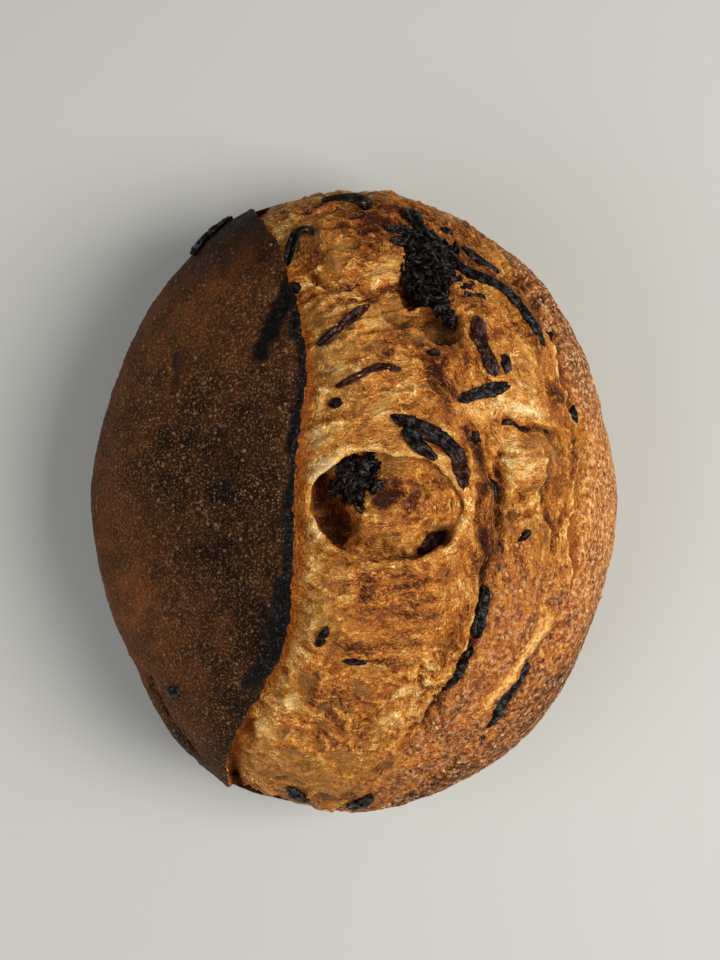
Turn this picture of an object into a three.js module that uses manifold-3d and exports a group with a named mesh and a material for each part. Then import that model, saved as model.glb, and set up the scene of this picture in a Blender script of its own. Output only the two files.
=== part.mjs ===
// A round sourdough loaf, lying on its flat base with the scored top up.
// Millimetres, +Z up. The origin is under the middle of the loaf, on the surface it rests on.
// X runs across the loaf, from the dark lifted ear (-X) to the sandy outer crust (+X).
// Y runs along it.
//
// The bread is one solid. Its skin is worked out on a net of rows and columns: the rows are
// slices across the loaf, and in each slice the columns run round it from underneath. One group
// of columns folds back under the ear, so that the ear overhangs the torn crumb beside it.
// The strips of charred onion are separate solids, each bedded in a groove of its own shape.
import * as THREE from "three";
import Module from "manifold-3d";

const { sin, cos, sqrt, abs, min, max, exp, PI } = Math;
const { clamp, smoothstep, degToRad: radians } = THREE.MathUtils;

// Driving dimensions of the plain loaf.
const WIDTH = 186; // across, along X
const LENGTH = 220; // along Y
const WIDEST_AT = 38; // height of the level where the loaf is widest
const CROWN_RISE = 62; // from that level to the top of the plain dome
const BELLY_DROP = 42; // depth of the lower half before the oven floor flattens it
const BELLY_POWER = 3; // 2 would make the lower half an ellipsoid; more makes it boxier

// Driving dimensions of the ear, the flap of crust that the deep score let rise.
const EAR_LIFT = 9; // how far the lip stands off the plain dome at its highest
const EAR_REACH = 34; // how far back from the lip the crust still rises
const EAR_ROUNDING = 1.6; // how round that rise is: more keeps it high for longer, then steeper
const EAR_CREST = 0.93; // where the rise meets the fold, as a share of the lift
const LIP_X_AT_Y = [
  [-110, -42],
  [-87.6, -40.8],
  [-70.5, -35.2],
  [-56.4, -27.2],
  [-40.5, -19.8],
  [-16.3, -17.8],
  [11.3, -17.2],
  [27.7, -15],
  [40.3, -13.6],
  [54.9, -15.5],
  [69.6, -19.5],
  [83.7, -24.4],
  [96, -32.3],
  [110, -40],
];
// The fold in a slice: how far a point lies past the lip (+ over the crumb, - back over the
// crust) and how far it stands off the plain dome. The slit ends under the ear.
const FOLD = [
  [-9, 7.4],
  [-5, 8.4],
  [-2, 9],
  [-0.4, 8.8],
  [0, 7.7],
  [-1.2, 6.3],
  [-4.6, 3],
  [-8, -1.4],
  [-7, -4.3],
  [-2.4, -4.8],
  [3, -3.8],
  [9, -1.8],
  [15, -0.5],
];

// Relief belongs to the crown: it fades in where the skin starts to face up by this much.
const CROWN_FACING = 0.25;

// The net of the bread's skin.
const ROWS = 58; // slices between the two end points of the loaf
const BELLY_COLUMNS = 7; // on each side, from underneath up to the rim
const CRUST_COLUMNS = 9; // from the rim up the ear's crust to the fold
const CRUMB_COLUMNS = 30; // from the fold over the crown to the other rim
const RIM_ANGLE = radians(96); // where belly and crown meet, measured from the top
const LEAST_CRUST = radians(7); // crust between rim and fold where the lip runs low

// Grooves: where the scores opened, and the creases in the torn crumb. path is in plan (x, y),
// width is half the groove, and step raises the side on the path's left.
const GROOVES = [
  {
    // the outer score, where the sandy crust band parts from the crumb
    path: [[48, 90], [57, 69], [66, 58], [71, 41], [77, 25], [77, 10], [74, -6], [72, -24]],
    depth: 5,
    width: 2.6,
    step: 1.2,
  },
  {
    // the outer score's lower half, between two crescents of crust
    path: [[73, -20], [69, -38], [57, -56], [45, -77], [29, -93], [10, -103]],
    depth: 3.6,
    width: 2.2,
    step: -1.8,
  },
  {
    // the inner score, beside the crumb
    path: [[43, -14], [43.5, -31], [40, -46], [33, -58], [25, -70], [13, -88]],
    depth: 5,
    width: 2.6,
    step: 1,
  },
  {
    // the folded edge under the top of the crumb
    path: [[-18, 78], [-8, 72], [2, 70.5], [12, 71], [21, 73]],
    depth: 3,
    width: 2,
    step: 1.6,
  },
  {
    // a short tear under it
    path: [[-11, 64.5], [-3, 67], [6, 68]],
    depth: 1.4,
    width: 1.2,
    step: 0,
  },
  {
    // the crease down the stretched sheets
    path: [[7, 66], [21, 50], [28, 33]],
    depth: 1.4,
    width: 2.2,
    step: 0.8,
  },
  {
    // the dark gap under the upper right dome
    path: [[47, 27], [58, 27], [68, 23]],
    depth: 4,
    width: 2.4,
    step: 1.6,
  },
  {
    // the valley right of the crater
    path: [[44, 16], [46, 4], [45, -8]],
    depth: 3.2,
    width: 3,
    step: 0,
  },
];
// The crease low on the ear's side, near the base.
const CRUST_CREASE = {
  path: [[-72, -57], [-62, -72], [-50, -86]],
  depth: 1.8,
  width: 1.6,
  step: -1,
};

// Mounds (+) and hollows (-) of the crumb: middle in plan, half sizes, turn in degrees, height
// and wall, where 1 is a soft dome and more is a steep-walled one.
const MOUNDS = [
  { at: [6, 90], size: [30, 24], turn: 0, rise: 3, wall: 1.4 }, // top of the crumb
  { at: [44, 55], size: [22, 33], turn: 32, rise: 4.6, wall: 1.6 }, // upper right dome
  { at: [9.5, 0], size: [27, 17.5], turn: -2, rise: -10, wall: 3 }, // the crater
  { at: [13.5, -1], size: [15.5, 13.5], turn: 0, rise: 9.5, wall: 1.5 }, // the knob in it
  { at: [-9, 0.5], size: [9, 12], turn: 14, rise: -4, wall: 1.6 }, // its deep end
  { at: [26, -12.5], size: [9, 4.5], turn: 38, rise: -4, wall: 1.6 }, // its lower corner
  { at: [19, 69], size: [6, 7.5], turn: 30, rise: -5.5, wall: 2 }, // two caves by the clump
  { at: [27.5, 56.5], size: [5.5, 8], turn: 30, rise: -6, wall: 2 },
  { at: [33, 40], size: [5, 13], turn: 16, rise: 2, wall: 1 }, // the toasted ridge
  { at: [57, 13], size: [9.5, 13], turn: 0, rise: 3.2, wall: 1.6 }, // the pale pillow
  { at: [41, 2], size: [4.5, 26], turn: 3, rise: 2, wall: 1 }, // the ridge by the crater
  { at: [5, -52], size: [40, 30], turn: -20, rise: 2.6, wall: 1.2 }, // the low fibrous dome
  { at: [30, -41], size: [4.5, 6.5], turn: -15, rise: -3, wall: 2 }, // the oval pit
  { at: [-37.5, -77], size: [6, 4.5], turn: -60, rise: -3.5, wall: 2 }, // the pocket
  { at: [60, -14], size: [9, 16], turn: 0, rise: 1.6, wall: 1 }, // the flank past the score
  { at: [64, -33], size: [3, 6], turn: -30, rise: -3, wall: 2 }, // two small caves there
  { at: [66, 5], size: [3.5, 5.5], turn: -10, rise: -3, wall: 2 },
  { at: [60, 69], size: [5, 13], turn: 42, rise: 2.2, wall: 1.4 }, // the rough crag at the rim
];

// Strips of onion, charred where they met the oven's heat: path in plan, width, thickness and
// how far the middle of the strip stands off the skin.
const STRIPS = {
  onion_top_bar: { path: [[-10.5, 102], [-3, 102], [3.5, 101], [4.5, 97]], width: 4.4, thick: 2.8 },
  onion_curl: {
    path: [[-22.5, 80.5], [-21.5, 86], [-18.5, 90.5], [-15, 91], [-12.8, 87.5]],
    width: 4,
    thick: 2.6,
  },
  onion_rim: { path: [[-54, 84], [-50.5, 91.5], [-42, 99.5]], width: 4.5, thick: 3.4, lift: 0.8 },
  onion_diagonal: { path: [[-11.5, 52], [-4.3, 57], [5, 64.5]], width: 3, thick: 2.2 },
  onion_thread: { path: [[-5.5, 37.5], [2, 40.5], [8, 44], [15, 42.5]], width: 1.9, thick: 1.8 },
  onion_long: {
    path: [[31, 84.5], [34.5, 77], [42, 71], [49, 66], [54.5, 58], [61, 51]],
    width: 3.6,
    thick: 2.4,
  },
  onion_upper: { path: [[36, 85.5], [42, 81], [48, 76.5]], width: 2.6, thick: 2 },
  onion_tail: { path: [[37.5, 58], [39, 50], [41.5, 44.5], [43.5, 40]], width: 4.2, thick: 3 },
  onion_bar: { path: [[33, 33], [41, 35.5], [48.5, 37.5]], width: 3.8, thick: 2.6 },
  onion_purple: { path: [[49, 25.5], [57, 26.5], [66, 23.5]], width: 3.6, thick: 2.4, lift: -0.6 },
  onion_hollow: { path: [[22, -16], [31, -9.5]], width: 4, thick: 2.4 },
  onion_inner_score: { path: [[44.2, -27], [42.8, -36], [40.8, -44.5]], width: 4.2, thick: 3.4 },
  onion_inner_tail: { path: [[39.6, -48], [35.5, -55], [29.5, -62.5]], width: 3, thick: 2.6 },
  onion_outer_score: { path: [[59, -54], [51, -64.5], [44.5, -75]], width: 3.8, thick: 3 },
  onion_low_left: { path: [[-22, -97.5], [-19.5, -101.5], [-17, -105]], width: 5, thick: 3.4 },
  onion_low_right: { path: [[-2.5, -105.5], [2, -102.5], [6, -98]], width: 4.6, thick: 3 },
};
// The forked strip at the crater's upper rim is two strips grown together.
const FORK = [
  { path: [[12, 28], [20, 24], [27.5, 21], [33.5, 15.5], [34.5, 5]], width: 5, thick: 3.2 },
  { path: [[15, 26], [19.5, 19], [26, 14.5]], width: 3.4, thick: 2.8 },
];
// The clump at the top is a lump of burnt onion with strips that stick out of it.
const CLUMP_LUMP = { at: [27, 75.5], size: [9.5, 17], turn: 28, height: 6.5 };
const CLUMP_STRIPS = [
  { path: [[18, 97], [20.5, 92], [24, 86]], width: 4.6, thick: 3.4 },
  { path: [[10.5, 89.5], [15.5, 88.3], [22, 88]], width: 2.8, thick: 2.4 },
  { path: [[12, 84.8], [17, 83.8], [24, 84.5]], width: 3.6, thick: 2.8 },
];
const CHUNK_LUMP = { at: [2.5, 8.5], size: [7, 7.5], turn: 20, height: 5.5 };

// Small flecks of onion that are baked into the skin: middle in plan, half sizes and turn.
const FLECKS = [
  { at: [27, 51.8], size: [4, 1.6], turn: 8 },
  { at: [25.3, 48], size: [2.3, 0.9], turn: -10 },
  { at: [31.4, 92], size: [2.6, 1.5], turn: -10 },
  { at: [38.5, 21.9], size: [2.8, 2.6], turn: 0 },
  { at: [75.6, 30], size: [1.8, 4.2], turn: -3 },
  { at: [67.8, 57.5], size: [1.8, 3.2], turn: -30 },
  { at: [55.3, -10.2], size: [2.8, 1.3], turn: 35 },
  { at: [46, 4.6], size: [2, 3.6], turn: 5 },
  { at: [-9.7, -42], size: [1.6, 3.8], turn: -28 },
  { at: [0.7, -49.1], size: [4, 1.3], turn: -2 },
  { at: [-57.5, -61.3], size: [3.6, 2.2], turn: 30 },
  { at: [-19.6, 73], size: [2.6, 2], turn: -50 },
  { at: [-5.5, 32.6], size: [2.2, 1.8], turn: 20 },
  { at: [47.2, 44], size: [1.8, 3.3], turn: 5 },
];
const FLECK_HEIGHT = 3;
const UNEVENNESS = { fleck: 0.08, clump: 0.16, chunk: 0.2 }; // share of the size
const BALL_SIDES = { fleck: 8, clump: 14, chunk: 12 };

const BED_GAP = 0.3; // between an onion strip and its groove
const LUMP_GAP = 0.5; // between an uneven lump of onion and its hollow
const HALF_WIDTH = WIDTH / 2;
const HALF_LENGTH = LENGTH / 2;

// --- Small tools of shape -------------------------------------------------------------------

// The value of a table of [key, value] pairs at a key, by a smooth curve through them.
function tableAt(table, key) {
  let i = 0;
  while (i < table.length - 2 && key > table[i + 1][0]) i++;
  const slope = (a, b) => (table[b][1] - table[a][1]) / (table[b][0] - table[a][0]);
  const last = table.length - 1;
  const [k0, v0] = table[i];
  const [k1, v1] = table[i + 1];
  const t = clamp((key - k0) / (k1 - k0), 0, 1);
  const m0 = slope(max(i - 1, 0), i + 1) * (k1 - k0);
  const m1 = slope(i, min(i + 2, last)) * (k1 - k0);
  const t2 = t * t;
  const t3 = t2 * t;
  return (
    (2 * t3 - 3 * t2 + 1) * v0 + (t3 - 2 * t2 + t) * m0 + (3 * t2 - 2 * t3) * v1 + (t3 - t2) * m1
  );
}

// Where a plan point lies in an ellipse: 0 at its middle, 1 on its edge, squared.
function ellipseSquare(x, y, { at, size, turn }) {
  const c = cos(radians(turn));
  const s = sin(radians(turn));
  const dx = x - at[0];
  const dy = y - at[1];
  return ((dx * c + dy * s) / size[0]) ** 2 + ((dy * c - dx * s) / size[1]) ** 2;
}

function moundHeight(x, y, mound) {
  const q = ellipseSquare(x, y, mound);
  return q < 1 ? mound.rise * min(1, (1 - q) ** 2 * mound.wall * 1.2) : 0;
}

// A groove's depth at a plan point. It runs out softly at both ends of its path.
const PATH_STEPS = 30;
for (const groove of [...GROOVES, CRUST_CREASE]) {
  const curve = new THREE.SplineCurve(groove.path.map(([x, y]) => new THREE.Vector2(x, y)));
  groove.points = curve.getPoints(PATH_STEPS);
}

function grooveHeight(x, y, { points, depth, width, step }) {
  let nearest = Infinity;
  let side = 0;
  let share = 0;
  for (let i = 0; i < PATH_STEPS; i++) {
    const a = points[i];
    const b = points[i + 1];
    const ux = b.x - a.x;
    const uy = b.y - a.y;
    const t = clamp(((x - a.x) * ux + (y - a.y) * uy) / (ux * ux + uy * uy), 0, 1);
    const d = Math.hypot(x - a.x - ux * t, y - a.y - uy * t);
    if (d < nearest) {
      nearest = d;
      side = Math.sign(ux * (y - a.y) - uy * (x - a.x)) || 1;
      share = (i + t) / PATH_STEPS;
    }
  }
  const ends = smoothstep(share, 0, 0.12) * smoothstep(1 - share, 0, 0.12);
  const cut = depth * exp(-((nearest / width) ** 2));
  const edge = max(0, side * Math.sign(step)) * abs(step) * exp(-nearest / (3 * width));
  return ends * (edge - cut);
}

// --- The bread's skin -----------------------------------------------------------------------

// A point of the plain loaf and the direction that faces out of it. along is the angle from
// the +Y end and round is the angle about the Y axis from the top, both in radians.
function plainSkin(along, round) {
  const dx = sin(along) * sin(round);
  const dy = cos(along);
  const dz = sin(along) * cos(round);
  if (dz >= 0) {
    return {
      point: new THREE.Vector3(HALF_WIDTH * dx, HALF_LENGTH * dy, WIDEST_AT + CROWN_RISE * dz),
      out: new THREE.Vector3(dx / HALF_WIDTH, dy / HALF_LENGTH, dz / CROWN_RISE).normalize(),
    };
  }
  const flat = Math.hypot(dx, dy) || 1e-9;
  const spread = flat ** (2 / BELLY_POWER - 1);
  const drop = abs(dz) ** (2 / BELLY_POWER);
  const x = HALF_WIDTH * dx * spread;
  const y = HALF_LENGTH * dy * spread;
  const ring = (flat * spread) ** (BELLY_POWER - 2);
  return {
    point: new THREE.Vector3(x, y, WIDEST_AT - BELLY_DROP * drop),
    out: new THREE.Vector3(
      (x / HALF_WIDTH ** 2) * ring,
      (y / HALF_LENGTH ** 2) * ring,
      -(drop ** (BELLY_POWER - 1)) / BELLY_DROP,
    ).normalize(),
  };
}

// The loaf is a little uneven all over, as hand-shaped dough is.
function lumps(x, y, z) {
  return (
    0.7 * sin(x / 17 + 1.3) * cos(y / 21 - 0.4) +
    0.5 * sin(y / 13 + z / 19) * cos(x / 24 + z / 15) +
    0.3 * sin(x / 7.5 - y / 9 + 2)
  );
}

// How far the crumb side of the crown stands off the plain loaf, at a plan point.
function crumbRelief(x, y) {
  let height = 0;
  for (const mound of MOUNDS) height += moundHeight(x, y, mound);
  for (const groove of GROOVES) height += grooveHeight(x, y, groove);
  return height;
}

// The share of the ear's full lift at a place along the loaf.
function earShare(y) {
  return max(0, 1 - (y / HALF_LENGTH) ** 4) ** 0.8;
}

// The angle about the Y axis at which the lip crosses the slice at a place along the loaf.
function lipAngle(y) {
  const half = HALF_WIDTH * sqrt(max(1 - (y / HALF_LENGTH) ** 2, 1e-6));
  return Math.asin(clamp(tableAt(LIP_X_AT_Y, y) / half, -1, 1));
}

// Millimetres of skin for one radian about the Y axis, in a slice.
function skinPerRadian(along, round) {
  return max(sin(along), 0.12) * Math.hypot(HALF_WIDTH * cos(round), CROWN_RISE * sin(round));
}

// One slice of the net: for each column, the angle about the Y axis and the fold's own height.
function slice(along) {
  const y = HALF_LENGTH * cos(along);
  const share = earShare(y);
  const lip = lipAngle(y);
  const perRadian = skinPerRadian(along, lip);
  const squeeze = min(1, 1.5 * sin(along)); // the fold narrows towards the loaf's ends
  const bend = ([past]) => lip + (past * squeeze) / perRadian;
  const foldStart = bend(FOLD[0]);
  const foldEnd = bend(FOLD.at(-1));
  const columns = [];
  const spread = (from, to, count, side) => {
    for (let i = 0; i < count; i++) {
      columns.push({ round: from + ((to - from) * i) / count, fold: null, side });
    }
  };
  const rimLeft = min(-RIM_ANGLE, foldStart - LEAST_CRUST);
  const pastFold = foldEnd + (RIM_ANGLE - foldEnd) / (CRUMB_COLUMNS + 1);
  spread(-PI, rimLeft, BELLY_COLUMNS, "crust");
  spread(rimLeft, foldStart, CRUST_COLUMNS, "crust");
  FOLD.forEach((point, i) => {
    const side = i < FOLD.length - 3 ? "fold" : "crumb";
    columns.push({ round: bend(point), fold: (point[1] / FOLD[2][1]) * EAR_LIFT * share, side });
  });
  spread(pastFold, RIM_ANGLE, CRUMB_COLUMNS, "crumb");
  spread(RIM_ANGLE, PI, BELLY_COLUMNS, "crumb");
  return { lip, perRadian, share, columns };
}

// A vertex of the finished skin, in one column of a slice.
function skinVertex(along, { lip, perRadian, share }, { round, fold, side }) {
  const { point, out } = plainSkin(along, round);
  const crown = smoothstep(out.z, 0, CROWN_FACING);
  let height = lumps(point.x, point.y, point.z) + (fold ?? 0);
  if (side === "crust") {
    const back = ((lip - round) * perRadian) / EAR_REACH;
    height += EAR_CREST * EAR_LIFT * share * exp(-(back ** EAR_ROUNDING));
    height += crown * grooveHeight(point.x, point.y, CRUST_CREASE);
  }
  if (side === "crumb") height += crown * crumbRelief(point.x, point.y);
  point.addScaledVector(out, height);
  point.z = max(point.z, 0);
  return point;
}

// The whole skin: slices from the +Y end to the -Y end, closed by one point at each end.
function breadGeometry() {
  const columnCount = 2 * BELLY_COLUMNS + CRUST_COLUMNS + FOLD.length + CRUMB_COLUMNS;
  const vertices = [];
  const faces = [];
  const endPoint = (along) => {
    const { point, out } = plainSkin(along, 0);
    return point.addScaledVector(out, lumps(point.x, point.y, point.z));
  };
  vertices.push(endPoint(0));
  for (let row = 1; row < ROWS; row++) {
    const along = (PI * row) / ROWS;
    const cut = slice(along);
    for (const column of cut.columns) vertices.push(skinVertex(along, cut, column));
  }
  vertices.push(endPoint(PI));
  const at = (row, i) => 1 + (row - 1) * columnCount + (i % columnCount);
  const last = vertices.length - 1;
  for (let i = 0; i < columnCount; i++) {
    faces.push(0, at(1, i), at(1, i + 1));
    faces.push(last, at(ROWS - 1, i + 1), at(ROWS - 1, i));
    for (let row = 1; row < ROWS - 1; row++) {
      faces.push(at(row, i), at(row + 1, i + 1), at(row, i + 1));
      faces.push(at(row, i), at(row + 1, i), at(row + 1, i + 1));
    }
  }
  return { vertices, faces };
}

const breadSkin = breadGeometry();
const breadMesh = new THREE.Mesh(
  new THREE.BufferGeometry().setFromPoints(breadSkin.vertices).setIndex(breadSkin.faces),
);
const probe = new THREE.Raycaster();
const PROBE_START = 30; // how far outside the plain dome the probe starts
const RIM_SHARE = 0.985; // a plan point past this share of the outline is pulled in to it

// The point of the faceted crown over a plan point, and the direction that faces out of it.
function crownPoint(x, y) {
  const squeeze = min(1, RIM_SHARE / Math.hypot(x / HALF_WIDTH, y / HALF_LENGTH));
  const px = x * squeeze;
  const py = y * squeeze;
  const rise = sqrt(1 - (px / HALF_WIDTH) ** 2 - (py / HALF_LENGTH) ** 2);
  const out = new THREE.Vector3(px / HALF_WIDTH ** 2, py / HALF_LENGTH ** 2, rise / CROWN_RISE);
  out.normalize();
  const start = new THREE.Vector3(px, py, WIDEST_AT + CROWN_RISE * rise);
  start.addScaledVector(out, PROBE_START);
  probe.set(start, out.clone().negate());
  return { point: probe.intersectObject(breadMesh)[0].point.clone(), out };
}

// --- Onion ----------------------------------------------------------------------------------

const STRIP_SIDES = 6;
const STRIP_STEP = 2.8; // length of strip to each ring of the net
const STRIP_LIFT = 0.55; // how far the middle of a strip stands off the skin
const STRIP_STIFFNESS = 3; // how many times its bends are evened out

// A flattened strip with pointed ends that follows the crown. grow makes it larger all round.
function stripGeometry({ path, width, thick, lift = STRIP_LIFT }, grow = 0) {
  const plan = new THREE.SplineCurve(path.map(([x, y]) => new THREE.Vector2(x, y)));
  const rings = max(4, Math.round(plan.getLength() / STRIP_STEP));
  const spine = [];
  for (let i = 0; i <= rings; i++) {
    const { x, y } = plan.getPointAt(i / rings);
    const { point, out } = crownPoint(x, y);
    spine.push({ middle: point.addScaledVector(out, lift), out });
  }
  for (let pass = 0; pass < STRIP_STIFFNESS; pass++) {
    const before = spine.map(({ middle }) => middle.clone());
    for (let i = 1; i < rings; i++) {
      const between = before[i - 1].clone().lerp(before[i + 1], 0.5);
      spine[i].middle.lerp(between, 0.5);
    }
  }
  const vertices = [];
  const faces = [];
  const forward = (i) =>
    spine[min(i + 1, rings)].middle.clone().sub(spine[max(i - 1, 0)].middle).normalize();
  vertices.push(spine[0].middle.clone().addScaledVector(forward(0), -grow));
  for (let i = 1; i < rings; i++) {
    const t = i / rings;
    const fullness = (1 - abs(2 * t - 1) ** 3) ** 0.5 * (1 + 0.16 * sin(9 * t + path[0][0]));
    const across = new THREE.Vector3().crossVectors(forward(i), spine[i].out).normalize();
    const up = new THREE.Vector3().crossVectors(across, forward(i)).normalize();
    for (let k = 0; k < STRIP_SIDES; k++) {
      const a = (2 * PI * k) / STRIP_SIDES;
      vertices.push(
        spine[i].middle
          .clone()
          .addScaledVector(across, (fullness * width * 0.5 + grow) * cos(a))
          .addScaledVector(up, (fullness * thick * 0.5 + grow) * sin(a)),
      );
    }
  }
  vertices.push(spine[rings].middle.clone().addScaledVector(forward(rings), grow));
  const at = (ring, k) => 1 + (ring - 1) * STRIP_SIDES + (k % STRIP_SIDES);
  const last = vertices.length - 1;
  for (let k = 0; k < STRIP_SIDES; k++) {
    faces.push(0, at(1, k), at(1, k + 1));
    faces.push(last, at(rings - 1, k + 1), at(rings - 1, k));
    for (let ring = 1; ring < rings - 1; ring++) {
      faces.push(at(ring, k), at(ring + 1, k), at(ring + 1, k + 1));
      faces.push(at(ring, k), at(ring + 1, k + 1), at(ring, k + 1));
    }
  }
  return { vertices, faces };
}

// A lump that lies on the crown: a squashed ball with an uneven surface.
function lumpGeometry({ at, size, turn, height }, kind, grow = 0) {
  const ball = new THREE.SphereGeometry(1, BALL_SIDES[kind], Math.round(BALL_SIDES[kind] * 0.6));
  ball.deleteAttribute("normal");
  ball.deleteAttribute("uv");
  const { point, out } = crownPoint(at[0], at[1]);
  const side = new THREE.Vector3(cos(radians(turn)), sin(radians(turn)), 0);
  side.addScaledVector(out, -side.dot(out)).normalize();
  const front = new THREE.Vector3().crossVectors(out, side);
  const position = ball.attributes.position;
  const vertices = [];
  const v = new THREE.Vector3();
  for (let i = 0; i < position.count; i++) {
    v.fromBufferAttribute(position, i);
    const waves = sin(5 * v.x + 2 * v.z) * cos(4 * v.y) + 0.5 * sin(6 * v.z + 4 * v.y + v.x);
    const rough = 1 + UNEVENNESS[kind] * waves;
    vertices.push(
      point
        .clone()
        .addScaledVector(side, v.x * (size[0] * rough + grow))
        .addScaledVector(front, v.y * (size[1] * rough + grow))
        .addScaledVector(out, v.z * (height * 0.5 * rough + grow)),
    );
  }
  return { vertices, faces: [...ball.index.array] };
}

// --- Joining and cutting --------------------------------------------------------------------

const wasm = await Module();
wasm.setup();

// A closed solid from loose vertices and faces. Vertices that coincide are merged.
function solidOf({ vertices, faces }) {
  const keys = new Map();
  const merged = [];
  const place = vertices.map((v) => {
    const key = [v.x, v.y, v.z].map((n) => Math.round(n * 1e4)).join();
    if (!keys.has(key)) {
      keys.set(key, merged.length / 3);
      merged.push(v.x, v.y, v.z);
    }
    return keys.get(key);
  });
  const corners = [];
  for (let i = 0; i < faces.length; i += 3) {
    const [a, b, c] = [place[faces[i]], place[faces[i + 1]], place[faces[i + 2]]];
    if (a !== b && b !== c && a !== c) corners.push(a, b, c);
  }
  return new wasm.Manifold(
    new wasm.Mesh({
      numProp: 3,
      vertProperties: new Float32Array(merged),
      triVerts: new Uint32Array(corners),
    }),
  );
}

// The largest body of a solid: crumbs that a cut leaves loose are dropped.
function largestBody(solid) {
  return solid.decompose().reduce((a, b) => (b.volume() > a.volume() ? b : a));
}

function meshOf(name, solid, material) {
  const { numProp, vertProperties, triVerts } = solid.getMesh();
  const positions = new Float32Array((vertProperties.length / numProp) * 3);
  for (let i = 0; i < positions.length / 3; i++) {
    positions.set(vertProperties.subarray(i * numProp, i * numProp + 3), i * 3);
  }
  const geometry = new THREE.BufferGeometry();
  geometry.setAttribute("position", new THREE.BufferAttribute(positions, 3));
  geometry.setIndex(new THREE.BufferAttribute(triVerts, 1));
  geometry.computeVertexNormals();
  const mesh = new THREE.Mesh(geometry, material);
  mesh.name = name;
  return mesh;
}

// --- The loaf -------------------------------------------------------------------------------

const bakedCrust = new THREE.MeshStandardMaterial({
  color: 0xa86a3c,
  roughness: 0.7,
  metalness: 0,
});
const charredOnion = new THREE.MeshStandardMaterial({
  color: 0x1f1814,
  roughness: 0.5,
  metalness: 0,
});

// Each onion piece is its own solid and the slightly larger solid that cuts its bed.
const joined = (parts) => parts.reduce((a, b) => a.add(b));
const strips = (list, grow) => list.map((strip) => solidOf(stripGeometry(strip, grow)));
const onions = {};
for (const [name, strip] of Object.entries(STRIPS)) {
  onions[name] = [0, BED_GAP].map((grow) => joined(strips([strip], grow)));
}
onions.onion_fork = [0, BED_GAP].map((grow) => joined(strips(FORK, grow)));
onions.onion_clump = [0, LUMP_GAP].map((grow) =>
  joined([solidOf(lumpGeometry(CLUMP_LUMP, "clump", grow)), ...strips(CLUMP_STRIPS, grow)]),
);
onions.onion_chunk = [0, LUMP_GAP].map((grow) => solidOf(lumpGeometry(CHUNK_LUMP, "chunk", grow)));

let bread = solidOf(breadSkin);
for (const fleck of FLECKS) {
  bread = bread.add(solidOf(lumpGeometry({ ...fleck, height: FLECK_HEIGHT }, "fleck")));
}
for (const [, bed] of Object.values(onions)) bread = bread.subtract(bed);

const loaf = new THREE.Group();
loaf.add(meshOf("loaf", largestBody(bread), bakedCrust));
const placed = [];
for (const [name, [body, bed]] of Object.entries(onions)) {
  let piece = body;
  for (const other of placed) piece = piece.subtract(other);
  placed.push(bed);
  loaf.add(meshOf(name, largestBody(piece), charredOnion));
}

export default loaf;
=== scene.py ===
# An oval sourdough loaf with charred onion baked in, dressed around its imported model.
# Metres, +Z up, in the model's own frame. Lengths inside the sections are in millimetres,
# as they were measured on the loaf, and become metres where a mesh is made.
import math

import bpy
import numpy as np
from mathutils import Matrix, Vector
from mathutils.bvhtree import BVHTree


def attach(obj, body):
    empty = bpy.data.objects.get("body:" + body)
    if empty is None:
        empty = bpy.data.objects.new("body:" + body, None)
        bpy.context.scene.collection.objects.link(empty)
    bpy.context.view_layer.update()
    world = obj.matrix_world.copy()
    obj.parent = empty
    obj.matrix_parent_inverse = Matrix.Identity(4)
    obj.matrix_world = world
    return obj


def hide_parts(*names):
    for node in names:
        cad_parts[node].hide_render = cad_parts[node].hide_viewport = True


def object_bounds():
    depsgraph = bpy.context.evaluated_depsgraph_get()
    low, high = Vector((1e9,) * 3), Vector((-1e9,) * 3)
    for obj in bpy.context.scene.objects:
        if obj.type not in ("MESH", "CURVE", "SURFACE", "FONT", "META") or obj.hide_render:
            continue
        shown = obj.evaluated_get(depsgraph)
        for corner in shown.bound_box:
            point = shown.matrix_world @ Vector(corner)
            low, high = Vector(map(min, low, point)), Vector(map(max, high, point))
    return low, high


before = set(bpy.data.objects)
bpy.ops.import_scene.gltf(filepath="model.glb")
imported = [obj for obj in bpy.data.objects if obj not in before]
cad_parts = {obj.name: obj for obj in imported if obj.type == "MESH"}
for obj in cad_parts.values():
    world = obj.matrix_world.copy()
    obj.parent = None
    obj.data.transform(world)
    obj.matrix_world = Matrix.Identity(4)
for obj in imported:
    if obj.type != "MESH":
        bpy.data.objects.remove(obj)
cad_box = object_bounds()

# --- The view: camera, light and floor ------------------------------------------------------
# The camera looks straight down on the scored top from about half a metre. A large soft light
# stands to the right and above, a weak one opposite, and the floor is plain and pale.

MM = 0.001
CAMERA_AT = (2.13, 7.8, 545)
CAMERA_LENS = 52.8
NEAREST_SEEN = 10
AIM_HEIGHT = 60  # the lights point at the middle of the loaf
SKY_COLOUR = (0.93, 0.95, 1.0, 1)
SKY_STRENGTH = 0.2
FLOOR_COLOUR = "b6b5ae"
FLOOR_ROUGHNESS = 0.85
FLOOR_HALF = 1500


def new_object(name, data):
    """An object that is in the scene."""
    made = bpy.data.objects.new(name, data)
    bpy.context.scene.collection.objects.link(made)
    return made


camera_data = bpy.data.cameras.new("camera")
camera_data.lens = CAMERA_LENS
camera_data.clip_start = NEAREST_SEEN * MM
camera = new_object("camera", camera_data)
camera.location = [MM * value for value in CAMERA_AT]
bpy.context.scene.camera = camera
bpy.context.scene.view_settings.view_transform = "Standard"


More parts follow.
